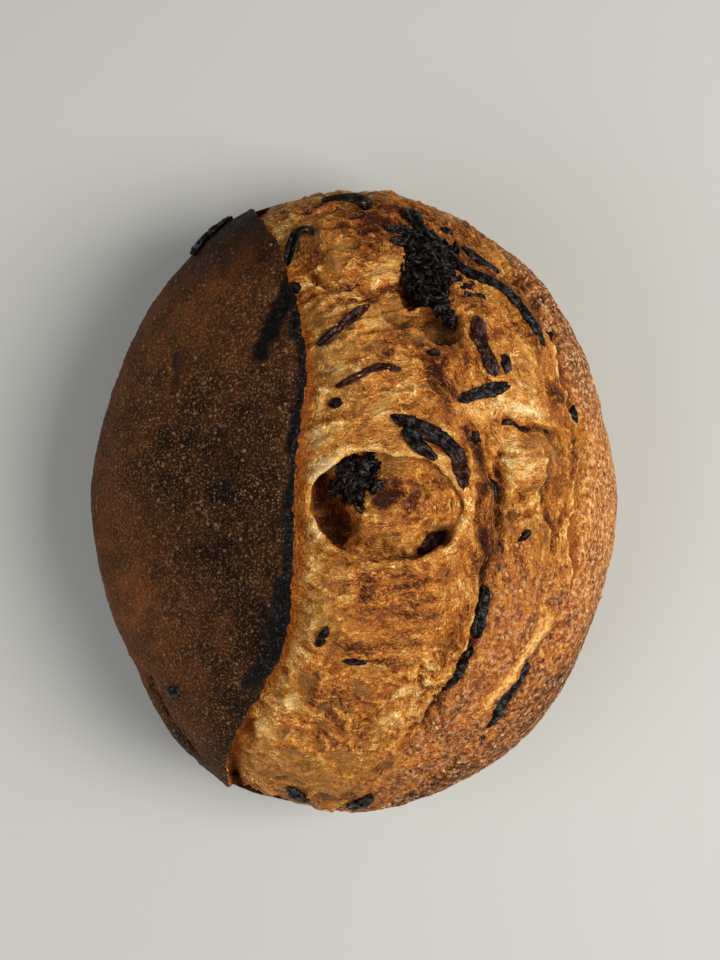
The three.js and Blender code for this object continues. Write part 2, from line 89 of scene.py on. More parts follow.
def soft_light(name, at, size, power, colour):
    """A square soft light that points at the middle of the loaf."""
    data = bpy.data.lights.new(name, "AREA")
    data.size = size * MM
    data.energy = power
    data.color = colour
    light = new_object(name, data)
    light.location = [MM * value for value in at]
    towards = Vector((0, 0, AIM_HEIGHT * MM)) - light.location
    light.rotation_euler = towards.to_track_quat("-Z", "Y").to_euler()


soft_light("window", (640, -60, 860), 600, 13.8, (1.0, 0.985, 0.96))
soft_light("return", (-620, -300, 620), 800, 4.2, (0.95, 0.97, 1.0))

world = bpy.data.worlds.new("room")
world.use_nodes = True
sky = world.node_tree.nodes["Background"]
sky.inputs["Color"].default_value = SKY_COLOUR
sky.inputs["Strength"].default_value = SKY_STRENGTH
bpy.context.scene.world = world


def srgb(code):
    """A colour written as it looks on a screen, as the linear value that a shader takes."""
    parts = [int(code[i : i + 2], 16) / 255 for i in (0, 2, 4)]
    return (*[p / 12.92 if p <= 0.04045 else ((p + 0.055) / 1.055) ** 2.4 for p in parts], 1)


def new_material(name, roughness):
    """A material with its node tree and its shader."""
    material = bpy.data.materials.new(name)
    material.use_nodes = True
    shader = material.node_tree.nodes["Principled BSDF"]
    shader.inputs["Roughness"].default_value = roughness
    return material, material.node_tree, shader


floor_mesh = bpy.data.meshes.new("floor")
corners = [(-1, -1), (1, -1), (1, 1), (-1, 1)]
corners = [(x * FLOOR_HALF * MM, y * FLOOR_HALF * MM, 0) for x, y in corners]
floor_mesh.from_pydata(corners, [], [(0, 1, 2, 3)])
floor = new_object("floor", floor_mesh)
paint, _, shader = new_material("floor_paint", FLOOR_ROUGHNESS)
shader.inputs["Base Color"].default_value = srgb(FLOOR_COLOUR)
floor_mesh.materials.append(paint)

# --- The bread: its form --------------------------------------------------------------------
# One piece of baked dough. The deep score let a flap of crust rise as the ear on the left, the
# crumb beside it tore open, and two more scores opened on the right. The plain dome, the ear,
# the mounds and the scores are the solid's; tears, fibres and pits are added to them here.

HALF_WIDTH = 93.0
HALF_LENGTH = 110.0
WIDEST_AT = 38.0
CROWN_RISE = 62.0
BELLY_DROP = 42.0
BELLY_POWER = 3.0
EAR_LIFT = 9.0
EAR_REACH = 34.0
EAR_ROUNDING = 1.6
EAR_CREST = 0.93
CROWN_FACING = 0.25
RIM_ANGLE = math.radians(96)
LEAST_CRUST = math.radians(7)
LIP_X_AT_Y = (
    (-110, -42), (-87.6, -40.8), (-70.5, -35.2), (-56.4, -27.2), (-40.5, -19.8), (-16.3, -17.8),
    (11.3, -17.2), (27.7, -15), (40.3, -13.6), (54.9, -15.5), (69.6, -19.5), (83.7, -24.4),
    (96, -32.3), (110, -40),
)
# The fold under the ear: how far past the lip, and how far off the plain dome.
FOLD = (
    (-9, 7.4), (-5, 8.4), (-2, 9), (-0.4, 8.8), (0, 7.7), (-1.2, 6.3), (-4.6, 3), (-8, -1.4),
    (-7, -4.3), (-2.4, -4.8), (3, -3.8), (9, -1.8), (15, -0.5),
)
LIP_AT = 3.6  # place in the fold where the crust ends and torn crumb begins
CRUMB_AT = 9.4  # place in the fold where the open crumb begins

# Rows are slices across the loaf; columns run round each slice from underneath.
ROWS = 500
BELLY_COLUMNS = 20
CRUST_COLUMNS = 90
FOLD_COLUMNS = 66
CRUMB_COLUMNS = 230
MOST_TRIANGLES = 196000

OUTER_SCORE = ((48, 90), (57, 69), (66, 58), (71, 41), (77, 25), (77, 10), (74, -6), (72, -24))
LOW_OUTER_SCORE = ((73, -20), (69, -38), (57, -56), (45, -77), (29, -93), (10, -103))
INNER_SCORE = ((43, -14), (43.5, -31), (40, -46), (33, -58), (25, -70), (13, -88))
# Each groove: path in plan, depth, half width, and the step up on its left side.
GROOVES = {
    "outer_score": (OUTER_SCORE, 6, 1.9, 1.6),
    "low_outer_score": (LOW_OUTER_SCORE, 3.6, 2.2, -1.8),
    "inner_score": (INNER_SCORE, 5, 2.6, 1),
    "top_fold": (((-18, 78), (-8, 72), (2, 70.5), (12, 71), (21, 73)), 3, 1.5, 1.8),
    "short_tear": (((-11, 64.5), (-3, 67), (6, 68)), 1.4, 1.2, 0),
    "sheet_crease": (((7, 66), (21, 50), (28, 33)), 2, 1.6, 1.4),
    "dome_gap": (((47, 27), (58, 27), (68, 23)), 4, 2.4, 1.6),
    "crater_valley": (((44, 16), (46, 4), (45, -8)), 3.2, 3, 0),
    "band_fold": (((38, 24), (40.5, 10), (40, -6), (42, -16)), 2.2, 1.2, 0.6),
    "band_crease": (((48.5, 22), (48, 8), (47.5, -4), (49, -18)), 2.4, 1.3, 0.8),
    "pillow_fold": (((61, 22), (63, 12), (62, 2), (66, -8), (66, -22)), 2.6, 1.4, 0.8),
    "pillow_gap": (((49, -2), (55, -4.5), (62, -2)), 1.6, 1.1, 0.6),
}
# The crater where a bubble burst: its opening, its floor, the knob of dough that stands in it,
# the deep trench at its left end and the hollow at its lower right.
CRATER = (10, -0.5, 26, 18.5, -3)
CRATER_FLOOR = 7.5
TRENCH = (-7.5, -1.5, 9.5, 13, 14, 8)
LOW_HOLLOW = (25.5, -12.2, 9.5, 4.2, 36, 5)
KNOB = (16, -0.5, 20, 15.5, 0, 8)
KNOB_PEAK = (10.5, 2, 6, 5, 0, 1.6)
CRATER_LIP = 1.6
CRUST_CREASE = (((-72, -57), (-62, -72), (-50, -86)), 1.8, 1.6, -1)
# Each mound or hollow: middle, half sizes, turn in degrees, height and steepness.
MOUNDS = (
    (6, 90, 30, 24, 0, 3, 1.4),
    (44, 55, 22, 33, 32, 4.6, 1.6),
    (19, 69, 6, 7.5, 30, -5.5, 6),
    (27.5, 56.5, 5.5, 8, 30, -6.5, 6),
    (33, 40, 5, 13, 16, 2, 1),
    (57, 13, 9.5, 13, 0, 3.2, 1.6),
    (41, 2, 4.5, 26, 3, 2, 1),
    (5, -52, 40, 30, -20, 2.6, 1.2),
    (30, -41, 4.5, 6.5, -15, -3, 2),
    (-37.5, -77, 6, 4.5, -60, -3.5, 2),
    (60, -14, 9, 16, 0, 1.6, 1),
    (64, -33, 3, 6, -30, -3, 2),
    (66, 5, 3.5, 5.5, -10, -3, 2),
    (60, 69, 5, 13, 42, 2.2, 1.4),
)


def smooth(value, low, high):
    share = np.clip((value - low) / (high - low), 0, 1)
    return share * share * (3 - 2 * share)


def bell(distance, width):
    """1 where the distance is nothing, fading over about a width."""
    return np.exp(-((distance / width) ** 2))


def through(keys, values, at):
    """A smooth curve through values at rising keys, read at other keys."""
    keys = np.asarray(keys, float)
    values = np.asarray(values, float)
    last = len(keys) - 1
    i = np.clip(np.searchsorted(keys, at) - 1, 0, last - 1)
    before = np.maximum(i - 1, 0)
    after = np.minimum(i + 2, last)
    gap = keys[i + 1] - keys[i]
    start = (values[i + 1] - values[before]) / (keys[i + 1] - keys[before]) * gap
    end = (values[after] - values[i]) / (keys[after] - keys[i]) * gap
    t = np.clip((at - keys[i]) / gap, 0, 1)
    first = (2 * t**3 - 3 * t**2 + 1) * values[i] + (t**3 - 2 * t**2 + t) * start
    return first + (3 * t**2 - 2 * t**3) * values[i + 1] + (t**3 - t**2) * end


def path_points(path, steps=30):
    """Points along a smooth curve through a path in plan."""
    keys = np.arange(len(path))
    at = np.linspace(0, len(path) - 1, steps + 1)
    return np.stack([through(keys, [p[k] for p in path], at) for k in (0, 1)], axis=1)


def near_path(x, y, path):
    """Distance to a path, side of it (+1 on its left), share along it, and its direction."""
    points = path_points(path)
    steps = len(points) - 1
    nearest = np.full(np.shape(x), 1e9)
    side = np.ones(np.shape(x))
    share = np.zeros(np.shape(x))
    heading = np.zeros(np.shape(x))
    for i in range(steps):
        ax, ay = points[i]
        ux, uy = points[i + 1] - points[i]
        t = np.clip(((x - ax) * ux + (y - ay) * uy) / (ux * ux + uy * uy), 0, 1)
        distance = np.hypot(x - ax - ux * t, y - ay - uy * t)
        closer = distance < nearest
        nearest = np.where(closer, distance, nearest)
        side = np.where(closer, np.where(ux * (y - ay) - uy * (x - ax) >= 0, 1, -1), side)
        share = np.where(closer, (i + t) / steps, share)
        heading = np.where(closer, math.atan2(uy, ux), heading)
    return nearest, side, share, heading


def ellipse_square(x, y, cx, cy, a, b, turn):
    """Where a plan point lies in an ellipse: 0 at its middle, 1 on its edge, squared."""
    c = math.cos(math.radians(turn))
    s = math.sin(math.radians(turn))
    along = ((x - cx) * c + (y - cy) * s) / a
    across = ((y - cy) * c - (x - cx) * s) / b
    return along**2 + across**2


LATTICE = np.random.default_rng(11).permutation(256)
SLOPES = np.array(
    [(1, 1, 0), (-1, 1, 0), (1, -1, 0), (-1, -1, 0), (1, 0, 1), (-1, 0, 1)]
    + [(1, 0, -1), (-1, 0, -1), (0, 1, 1), (0, -1, 1), (0, 1, -1), (0, -1, -1)],
    float,
)


def noise(x, y, z=0.0):
    """Smooth random relief from -1 to 1, with lumps about one unit across."""
    x, y, z = np.broadcast_arrays(x, y, z)
    ix, iy, iz = [np.floor(v).astype(int) for v in (x, y, z)]
    fx, fy, fz = x - ix, y - iy, z - iz
    wx, wy, wz = [f * f * f * (f * (f * 6 - 15) + 10) for f in (fx, fy, fz)]
    total = 0
    for i in (0, 1):
        for j in (0, 1):
            for k in (0, 1):
                key = LATTICE[(LATTICE[(LATTICE[(ix + i) & 255] + iy + j) & 255] + iz + k) & 255]
                slope = SLOPES[key % 12]
                reach = slope[..., 0] * (fx - i) + slope[..., 1] * (fy - j) + slope[..., 2] * (fz - k)
                weight = (wx if i else 1 - wx) * (wy if j else 1 - wy) * (wz if k else 1 - wz)
                total = total + weight * reach
    return total * 1.4


def nearest_spots(x, y, size, seed):
    """Distance to the nearest of scattered points about a size apart, how much farther the next
    one is, and a random value for the nearest. Distances are shares of the size."""
    x = x / size
    y = y / size
    ix = np.floor(x).astype(int)
    iy = np.floor(y).astype(int)
    nearest = np.full(np.shape(x), 9.0)
    second = np.full(np.shape(x), 9.0)
    lot = np.zeros(np.shape(x))
    for i in (-1, 0, 1):
        for j in (-1, 0, 1):
            key = LATTICE[(LATTICE[(ix + i + seed) & 255] + iy + j) & 255]
            px = ix + i + LATTICE[key] / 256
            py = iy + j + LATTICE[(key + 91) & 255] / 256
            distance = np.hypot(x - px, y - py)
            second = np.minimum(second, np.maximum(nearest, distance))
            lot = np.where(distance < nearest, LATTICE[(key + 17) & 255] / 256, lot)
            nearest = np.minimum(nearest, distance)
    return nearest, second - nearest, lot


def lumps(x, y, z):
    """The loaf is a little uneven all over, as hand-shaped dough is."""
    return (
        0.7 * np.sin(x / 17 + 1.3) * np.cos(y / 21 - 0.4)
        + 0.5 * np.sin(y / 13 + z / 19) * np.cos(x / 24 + z / 15)
        + 0.3 * np.sin(x / 7.5 - y / 9 + 2)
    )


def plain_skin(along, around):
    """Points of the plain loaf and the direction that faces out of it."""
    dx = np.sin(along) * np.sin(around)
    dy = np.cos(along) + 0 * around
    dz = np.sin(along) * np.cos(around)
    flat = np.maximum(np.hypot(dx, dy), 1e-9)
    spread = flat ** (2 / BELLY_POWER - 1)
    drop = np.abs(dz) ** (2 / BELLY_POWER)
    ring = (flat * spread) ** (BELLY_POWER - 2)
    upper = dz >= 0
    x = HALF_WIDTH * dx * np.where(upper, 1, spread)
    y = HALF_LENGTH * dy * np.where(upper, 1, spread)
    z = WIDEST_AT + np.where(upper, CROWN_RISE * dz, -BELLY_DROP * drop)
    level = np.where(upper, 1, ring)
    facing = np.where(upper, dz / CROWN_RISE, -(drop ** (BELLY_POWER - 1)) / BELLY_DROP)
    out = np.stack([x / HALF_WIDTH**2 * level, y / HALF_LENGTH**2 * level, facing], axis=-1)
    out /= np.linalg.norm(out, axis=-1, keepdims=True)
    return np.stack([x, y, z], axis=-1), out


# The grain of the torn crumb: where the fibres were drawn out, and how they lie.
# Each comb: path that they follow, how far its pull reaches, and how strong it is.
COMBS = (
    (INNER_SCORE, 12, 2.4),
    (OUTER_SCORE, 12, 2.4),
    (LOW_OUTER_SCORE, 14, 2.4),
    (((36, 25), (41, 5), (44, -18)), 7, 2.2),
    (((31, 88), (44, 70), (62, 48)), 15, 1.2),
    (((31, 50), (35, 38), (38, 30)), 6, 1.6),
    (((-12, -40), (4, -46), (20, -50)), 11, 0.9),
    (((-17, -54), (-9, -64), (-5, -76)), 9, 0.8),
    (((-8, -92), (10, -76), (24, -56)), 10, 1.0),
    (((-30, -84), (-14, -92), (2, -97)), 8, 0.9),
)
SWIRLS = ((9.5, 0, 27, 17.5, -2, 3.0, 0.5), (2, 86, 16, 12, 10, 0.9, 0.6))
FLAT_PULL = 0.45  # elsewhere the fibres were drawn straight across, away from the ear


def grain(x, y):
    """Cosine and sine of twice the angle at which the fibres lie."""
    c = np.full(np.shape(x), FLAT_PULL)
    s = 0.25 * noise(x / 14, y / 14, 3.3)
    for path, reach, pull in COMBS:
        distance, _, _, heading = near_path(x, y, path)
        weight = pull * bell(distance, reach)
        c = c + weight * np.cos(2 * heading)
        s = s + weight * np.sin(2 * heading)
    for cx, cy, a, b, turn, pull, reach in SWIRLS:
        ring = np.sqrt(ellipse_square(x, y, cx, cy, a, b, turn))
        weight = pull * bell(ring - 0.85, reach)
        heading = np.arctan2((x - cx) / a**2, -(y - cy) / b**2)
        c = c + weight * np.cos(2 * heading)
        s = s + weight * np.sin(2 * heading)
    size = np.maximum(np.hypot(c, s), 1e-6)
    return c / size, s / size


GRAIN_STEP = 0.5
GRAIN_EDGE = 116
grid_axis = np.arange(-GRAIN_EDGE, GRAIN_EDGE + GRAIN_STEP, GRAIN_STEP)
grid_x, grid_y = np.meshgrid(grid_axis, grid_axis)
grid_c, grid_s = grain(grid_x, grid_y)
grid_angle = 0.5 * np.arctan2(grid_s, grid_c)


def soften(values, times):
    for _ in range(times):
        values = (values + np.roll(values, 1, 0) + np.roll(values, -1, 0)) / 3
        values = (values + np.roll(values, 1, 1) + np.roll(values, -1, 1)) / 3
    return values


def combed(seed, blur, steps):
    """Random relief on a plan grid, drawn out along the grain, of unit spread."""
    values = soften(np.random.default_rng(seed).standard_normal(grid_x.shape), blur)
    total = values.copy()
    for way in (1, -1):
        at_x = grid_x.copy()
        at_y = grid_y.copy()
        last_x = way * np.cos(grid_angle)
        last_y = way * np.sin(grid_angle)
        for _ in range(steps):
            spot = [np.rint((at + GRAIN_EDGE) / GRAIN_STEP) for at in (at_y, at_x)]
            spot = tuple(np.clip(at, 0, len(grid_axis) - 1).astype(int) for at in spot)
            go_x = np.cos(grid_angle[spot])
            go_y = np.sin(grid_angle[spot])
            flip = np.where(go_x * last_x + go_y * last_y < 0, -1, 1)
            last_x = go_x * flip
            last_y = go_y * flip
            total += values[spot]
            at_x += last_x * GRAIN_STEP
            at_y += last_y * GRAIN_STEP
    return total / total.std()


def read_grid(values, x, y):
    """The value of a plan grid at any point, by its four neighbours."""
    across = np.clip((x + GRAIN_EDGE) / GRAIN_STEP, 0, len(grid_axis) - 1.001)
    up = np.clip((y + GRAIN_EDGE) / GRAIN_STEP, 0, len(grid_axis) - 1.001)
    i = across.astype(int)
    j = up.astype(int)
    fx = across - i
    fy = up - j
    low = values[j, i] * (1 - fx) + values[j, i + 1] * fx
    high = values[j + 1, i] * (1 - fx) + values[j + 1, i + 1] * fx
    return low * (1 - fy) + high * fy


thin_fibres = combed(5, 2, 14)
broad_fibres = combed(6, 9, 26)

# The net of slices. Every array has one entry for each row and column.
along = (np.pi * np.arange(1, ROWS) / ROWS)[:, None]
row_y = HALF_LENGTH * np.cos(along)
share = np.maximum(0, 1 - (row_y / HALF_LENGTH) ** 4) ** 0.8
half_slice = HALF_WIDTH * np.sqrt(np.maximum(1 - (row_y / HALF_LENGTH) ** 2, 1e-6))
lip_keys, lip_values = zip(*LIP_X_AT_Y)
ragged = 0.7 * noise(row_y / 6, 1.7) + 0.6 * noise(row_y / 2.1, 8.1)
lip_x = through(lip_keys, lip_values, row_y) + ragged
lip = np.arcsin(np.clip(lip_x / half_slice, -1, 1))
per_radian = np.maximum(np.sin(along), 0.12) * np.hypot(
    HALF_WIDTH * np.cos(lip), CROWN_RISE * np.sin(lip)
)
squeeze = np.minimum(1, 1.5 * np.sin(along))
fold_at = np.linspace(0, len(FOLD) - 1, FOLD_COLUMNS)
fold_keys = np.arange(len(FOLD))
fold_past = through(fold_keys, [past for past, _ in FOLD], fold_at)[None, :]
fold_off = through(fold_keys, [off for _, off in FOLD], fold_at)[None, :]
fold_round = lip + fold_past * squeeze / per_radian
fold_start = fold_round[:, :1]
fold_end = fold_round[:, -1:]
rim_left = np.minimum(-RIM_ANGLE, fold_start - LEAST_CRUST)


def spread(start, end, count, offset=0):
    """Evenly spaced angles from start, up to just before end."""
    return start + (end - start) * (np.arange(count)[None, :] + offset) / (count + offset)


around = np.concatenate(
    [
        spread(-np.pi, rim_left, BELLY_COLUMNS),
        spread(rim_left, fold_start, CRUST_COLUMNS),
        fold_round,
        spread(fold_end, RIM_ANGLE, CRUMB_COLUMNS, 1),
        spread(RIM_ANGLE, np.pi + 0 * along, BELLY_COLUMNS),
    ],
    axis=1,
)
columns = around.shape[1]
before_fold = BELLY_COLUMNS + CRUST_COLUMNS
after_fold = before_fold + FOLD_COLUMNS
column = np.arange(columns)[None, :] + 0 * around
fold_place = np.where(column < before_fold, -1, np.where(column >= after_fold, 99, 0)).astype(float)
fold_place[:, before_fold:after_fold] = fold_at

place, out = plain_skin(along, around)
X, Y, Z = [place[..., k] for k in range(3)]
crown = smooth(out[..., 2], 0, CROWN_FACING)
is_crust = column < before_fold
is_crumb = smooth(fold_place, CRUMB_AT - 0.6, CRUMB_AT + 0.8)

height = lumps(X, Y, Z)
height[:, before_fold:after_fold] += fold_off / FOLD[2][1] * EAR_LIFT * share
behind_lip = np.where(is_crust, (lip - around) * per_radian, 0)
rise = EAR_CREST * EAR_LIFT * share * np.exp(-np.abs(behind_lip / EAR_REACH) ** EAR_ROUNDING)
height += np.where(is_crust, rise, 0)


def groove_height(x, y, path, depth, width, step):
    """The relief of a groove with its raised side, the distance to it, and 0 past its ends."""
    distance, side, run, _ = near_path(x, y, path)
    ends = smooth(run, 0, 0.12) * smooth(1 - run, 0, 0.12)
    cut = depth * bell(distance, width)
    raised = np.maximum(0, side * np.sign(step)) * abs(step) * np.exp(-distance / (3 * width))
    return ends * (raised - cut), distance, ends


def flat_noise(size, level):
    return noise(X / size, Y / size, level)


def deep_noise(size):
    return noise(X / size, Y / size, Z / size)


crease, crease_distance, crease_ends = groove_height(X, Y, *CRUST_CREASE)
height += np.where(is_crust, crown * crease, 0)

# Torn edges wander, so the crumb's mounds and scores are read at slightly shifted points.
WX = X + (1.3 * flat_noise(9, 1.1) + 0.6 * flat_noise(3.1, 4.2))
WY = Y + (1.3 * flat_noise(9, 7.7) + 0.6 * flat_noise(3.1, 9.6))
relief = np.zeros_like(X)
for cx, cy, a, b, turn, rise, wall in MOUNDS:
    q = ellipse_square(WX, WY, cx, cy, a, b, turn)
    relief += np.where(q < 1, rise * np.minimum(1, (1 - np.minimum(q, 1)) ** 2 * wall * 1.2), 0)

ring = np.sqrt(ellipse_square(WX, WY, *CRATER))


def dome_over(x, y, spot, sharp=0.7):
    """A dome on an ellipse in plan, with its height as the spot's last value."""
    q = ellipse_square(x, y, *spot[:5])
    return spot[5] * np.maximum(0, 1 - q) ** sharp


floor_depth = CRATER_FLOOR + dome_over(WX, WY, TRENCH, 0.8) + dome_over(WX, WY, LOW_HOLLOW, 0.5)
floor_depth = floor_depth - dome_over(WX, WY, KNOB) - dome_over(WX, WY, KNOB_PEAK, 1.0)
closed_end = smooth(WX, 18, 31) * smooth(WY, -9, -3)
floor_depth = floor_depth * (1 - 0.8 * closed_end)
in_crater = smooth(1.0 - ring, 0.0, 0.17)
relief -= in_crater * floor_depth
relief += CRATER_LIP * bell(ring - 1.03, 0.06)
# The rim leans in over the crater, and the wall below it is undercut.
lean = 1.7 * bell(ring - 1.0, 0.06) - 2.2 * bell(ring - 0.86, 0.09)
from_middle = np.maximum(np.hypot(WX - CRATER[0], WY - CRATER[1]), 1)
slide_x = lean * (-(WX - CRATER[0]) / from_middle)
slide_y = lean * (-(WY - CRATER[1]) / from_middle)

score = {}
for name, groove in GROOVES.items():
    lifted, distance, ends = groove_height(WX, WY, *groove)
    relief += lifted
    score[name] = (distance, ends)

# --- The bread: where it browned ------------------------------------------------------------
# What stood nearest the oven's heat is dark, and what tore open late is pale. Each place is
# given how far it baked, from 0, pale, to 1, burnt, and which kind of surface it has. The same
# value also holds painted shade in hollows, grooves, the slit and at the top, and a painted
# highlight on the crater's rim.

EDGE_OF_CRUST = (
    (8, 109), (30, 101), (48, 90), (57, 69), (66, 58), (71, 41), (77, 25), (77, 10), (74, -6),
    (73, -20), (69, -38), (57, -56), (45, -77), (29, -93), (10, -103), (-4, -109),
)
CRESCENT_EDGE = ((43, -6), (43.5, -31), (40, -46), (33, -58), (25, -70), (13, -88), (2, -99))
edge_distance, edge_side = near_path(WX, WY, EDGE_OF_CRUST)[:2]
past_edge = edge_side * edge_distance
rim_side = np.where(column >= after_fold + CRUMB_COLUMNS, 1, 0)
sandy = is_crumb * np.maximum(smooth(past_edge, 0.8, 1.8), rim_side)
inner_distance, inner_side = near_path(WX, WY, CRESCENT_EDGE)[:2]
crescent = is_crumb * smooth(inner_side * inner_distance, -0.5, 2.5) * smooth(-WY, 12, 30)
sandy = np.maximum(sandy, 0.5 * crescent * (1 - smooth(past_edge, -0.8, 1.2)))

ear = np.where(is_crust, 1.0, 1 - smooth(fold_place, LIP_AT, LIP_AT + 0.5))
ear = np.where(column >= after_fold, 0, ear)
torn = is_crumb * (1 - sandy)
under_ear = np.clip(1 - ear - is_crumb, 0, 1)

# Places of the crumb: middle, half sizes, turn, then change of bake, window and gloss.
PLACES = (
    # The first three places darken the crumb at the top of the loaf, painted shade where less light
    # reaches it.
    (-0.6, 93.8, 12, 8, 0, 0.12, 0, -0.2),
    (14, 94, 12, 8, 0, 0.2, 0, -0.2),
    (4.5, 86.7, 6, 10, 0, 0.24, 0, 0),
    (14.6, 76.6, 6, 4, 20, -0.08, 0.7, 0.3),
    (-15.5, 82.5, 5, 9, -20, 0.3, 0, 0.3),
    (-4.5, 83, 7, 6, 0, 0.04, 0.3, 0.3),
    (-4, 50.5, 12, 5, 0, 0.02, 0.8, 0.3),
    (-6.2, 42.3, 9, 4.5, 0, -0.1, 0.8, 0.3),
    (9.6, 59.5, 8, 6, 0, -0.08, 0.6, 0.2),
    (-11.8, 61.9, 6, 6, 0, 0.03, 0.9, 0.2),
    (7.2, 30.4, 6, 3.5, 0, -0.18, 0.3, 0.5),
    (-11.2, 20.5, 7, 8, 0, -0.1, 0.2, 0.3),
    (19, 69, 6, 7.5, 30, 0.34, 0, 0),
    (27.5, 56.5, 5.5, 8, 30, 0.3, 0.3, 0),
    (32, 47.6, 4.5, 13, 16, 0.18, 0, 0),
    (54.6, 39, 9, 7, 20, -0.1, 0.1, 0.4),
    (59.3, 69.1, 5, 13, 42, 0.3, 0, -0.2),
    (64, 48, 4, 12, 25, -0.14, 0, 0),
    (9.8, 1.8, 5, 3.8, 20, 0.7, 0, 0.3),
    (66.5, 37, 2, 6, 20, 0.3, 0, 0),
    (58, -38, 2.4, 6, -35, 0.2, 0, 0),
    (16, 0.5, 14, 11, 0, 0.08, 0, 0.5),
    (11.6, -10, 14, 4.5, -8, -0.1, 0.3, 0.2),
    (12.6, 14.1, 10, 4.5, -6, -0.04, 0.9, 0),
    (26.6, 7.5, 6, 5, 0, 0.08, 0, 0),
    (25.7, -12.6, 8, 3.6, 38, 0.4, 0, 0.2),
    (-13.2, -32, 7, 9, 0, 0, 0.6, 0.3),
    (4.7, -28.7, 3, 3, 0, 0.36, 0, 0),
    (-19.3, -63.4, 5, 3.5, 0, -0.22, 0.3, 0.4),
    (16.7, -60.3, 3.5, 3.5, 0, -0.22, 0.3, 0.4),
    (11, -71, 5, 4.5, 40, -0.2, 0.4, 0.3),
    (-29.7, -76.8, 6, 5, -60, -0.08, 0.4, 0.3),
    (-16.4, -91.6, 22, 9, -20, 0.08, 0.6, 0.3),
    (-6, -62, 20, 18, 0, 0.12, 0, 0),
    (9, -33, 10, 7, 0, 0.1, 0, 0),
    (24.5, -30, 10, 12, 0, 0.04, 0, 0),
    (44.6, 7.2, 2.5, 4.5, 0, 0.45, 0, 0.2),
    (56.5, 13.5, 8, 9, 0, -0.16, 0, 0.8),
    (54, -5.2, 8, 7, 0, 0.1, 0, 0),
    (64.7, 17.7, 3, 7, 0, 0.06, 0.8, 0),
    (62.7, 4.5, 3, 5, 0, 0.3, 0.3, 0),
    (65.5, -32, 3, 5, -30, 0.24, 0.3, 0),
    (62.2, -49, 3, 5, -30, 0.2, 0, 0),
)
# Lines of the crumb: path, half width, change of bake, window and gloss.
LINES = (
    (((5.7, 67), (14, 59), (22, 52), (27, 41), (31.6, 28)), 2.6, 0.14, 0, 0),
    (((25.3, 47), (28, 37), (31, 27)), 2.2, 0.26, 0, 0),
    (((34, 31), (47.5, 31.5), (61.4, 30)), 3.2, -0.26, 0, 0.9),
    (((-4, -28), (12, -26), (30, -22)), 7, 0.09, 0, 0),
    (((-2, 100), (20, 99), (38, 88)), 7, 0.12, 0, -0.1),
    (((37.4, 22), (44, 7), (42, -21)), 4, 0.13, 0, -0.1),
    (((-24, -52), (-29, -62), (-37, -78)), 3.5, 0.02, 0, 0.2),
    (((67, -26), (63, -38), (53, -53), (44, -67)), 1.5, -0.5, 0, 0.3),
    (((71, -24), (67, -38), (56, -55), (46, -70)), 0.9, 0.5, 0, 0),
)

# How far each kind of surface baked and how glossy it is, before the changes that follow.
# The slit's darkening is painted shade, deep under the ear.
BASE_BAKE = 0.47
SANDY_BAKE = 0.46
CHANNEL_BAKE = 0.44
EAR_BAKE = 0.89
SLIT_BAKE = 0.22
SLIT_PAINTED_SHADE = 0.4
RIGHT_SIDE_BAKE = 0.62
LEFT_SIDE_BAKE = 0.84
UNDERSIDE_BAKE = 0.6
SIDE_SHARE = 0.85
BASE_GLOSS = 0.3
SANDY_GLOSS = 0.15
CHANNEL_GLOSS = 0.5
EAR_GLOSS = 0.2
# Heights and depths of the crumb's relief.
PALE_EDGE_HEIGHT = 1.8
CRUST_EDGE_HEIGHT = 1.3
WEB_HEIGHT = 0.75
BUBBLE_DEPTH = 1.3
PIT_DEPTH = 2.4

bake_and_shade = np.full_like(X, BASE_BAKE)
window = np.zeros_like(X)
gloss = np.full_like(X, BASE_GLOSS)
for *spot, shaded_bake, clear, shine in (*PLACES, *LINES):
    if len(spot) == 5:
        weight = 1 - smooth(np.sqrt(ellipse_square(WX, WY, *spot)), 0.35, 1.2)
    else:
        path, width = spot
        weight = bell(near_path(WX, WY, path)[0], width)
    bake_and_shade += shaded_bake * weight
    window += clear * weight
    gloss += shine * weight
# The crater's rim is paler, a painted highlight, and glossier.
bake_and_shade -= 0.2 * bell(ring - 1.03, 0.08)
gloss += 0.3 * bell(ring - 1.03, 0.1)
# Towards its deep left end the crater is darker, painted shade.
bake_and_shade += 0.5 * in_crater * smooth(-(WX + 0.25 * WY), 0, 9)

# The open part of the outer score: from left to right a pale torn edge, a painted shadow
# line, the channel and the crust's own raised edge.
open_score = smooth(Y, -34, -24) * (1 - smooth(Y, 52, 62)) * is_crumb
channel = open_score * smooth(past_edge, -0.9, -0.5) * (1 - smooth(past_edge, 1.2, 1.7))
pale_edge = open_score * bell(past_edge + 2.1, 1.0)
# A narrow line of painted shadow, where the torn edge shades the channel.
painted_shadow_line = open_score * bell(past_edge + 0.8, 0.5)
crust_edge = open_score * bell(past_edge - 1.9, 0.7)
jagged = np.clip(0.9 + 0.9 * noise(X / 2.6, Y / 3.4, 33.3), 0, 2)
relief += PALE_EDGE_HEIGHT * pale_edge * jagged + CRUST_EDGE_HEIGHT * crust_edge * jagged
bake_and_shade -= 0.34 * pale_edge
# Most scores and folds are darker along their floors, painted shade, and paler just beside them.
for name, (distance, ends) in score.items():
    if name not in ("outer_score", "sheet_crease", "crater_valley"):
        bake_and_shade += 0.24 * ends * bell(distance, 1.1)
        bake_and_shade -= 0.1 * ends * bell(distance - 2.3, 0.9)

thin = read_grid(thin_fibres, X, Y)
broad = read_grid(broad_fibres, X, Y)
down_side = np.minimum(Z - 58, 0)
blotch = flat_noise(11, 2.2 + down_side / 11) + 0.6 * flat_noise(4.7, 5.2 + down_side / 4.7)
fine = flat_noise(2.2, 6.4)


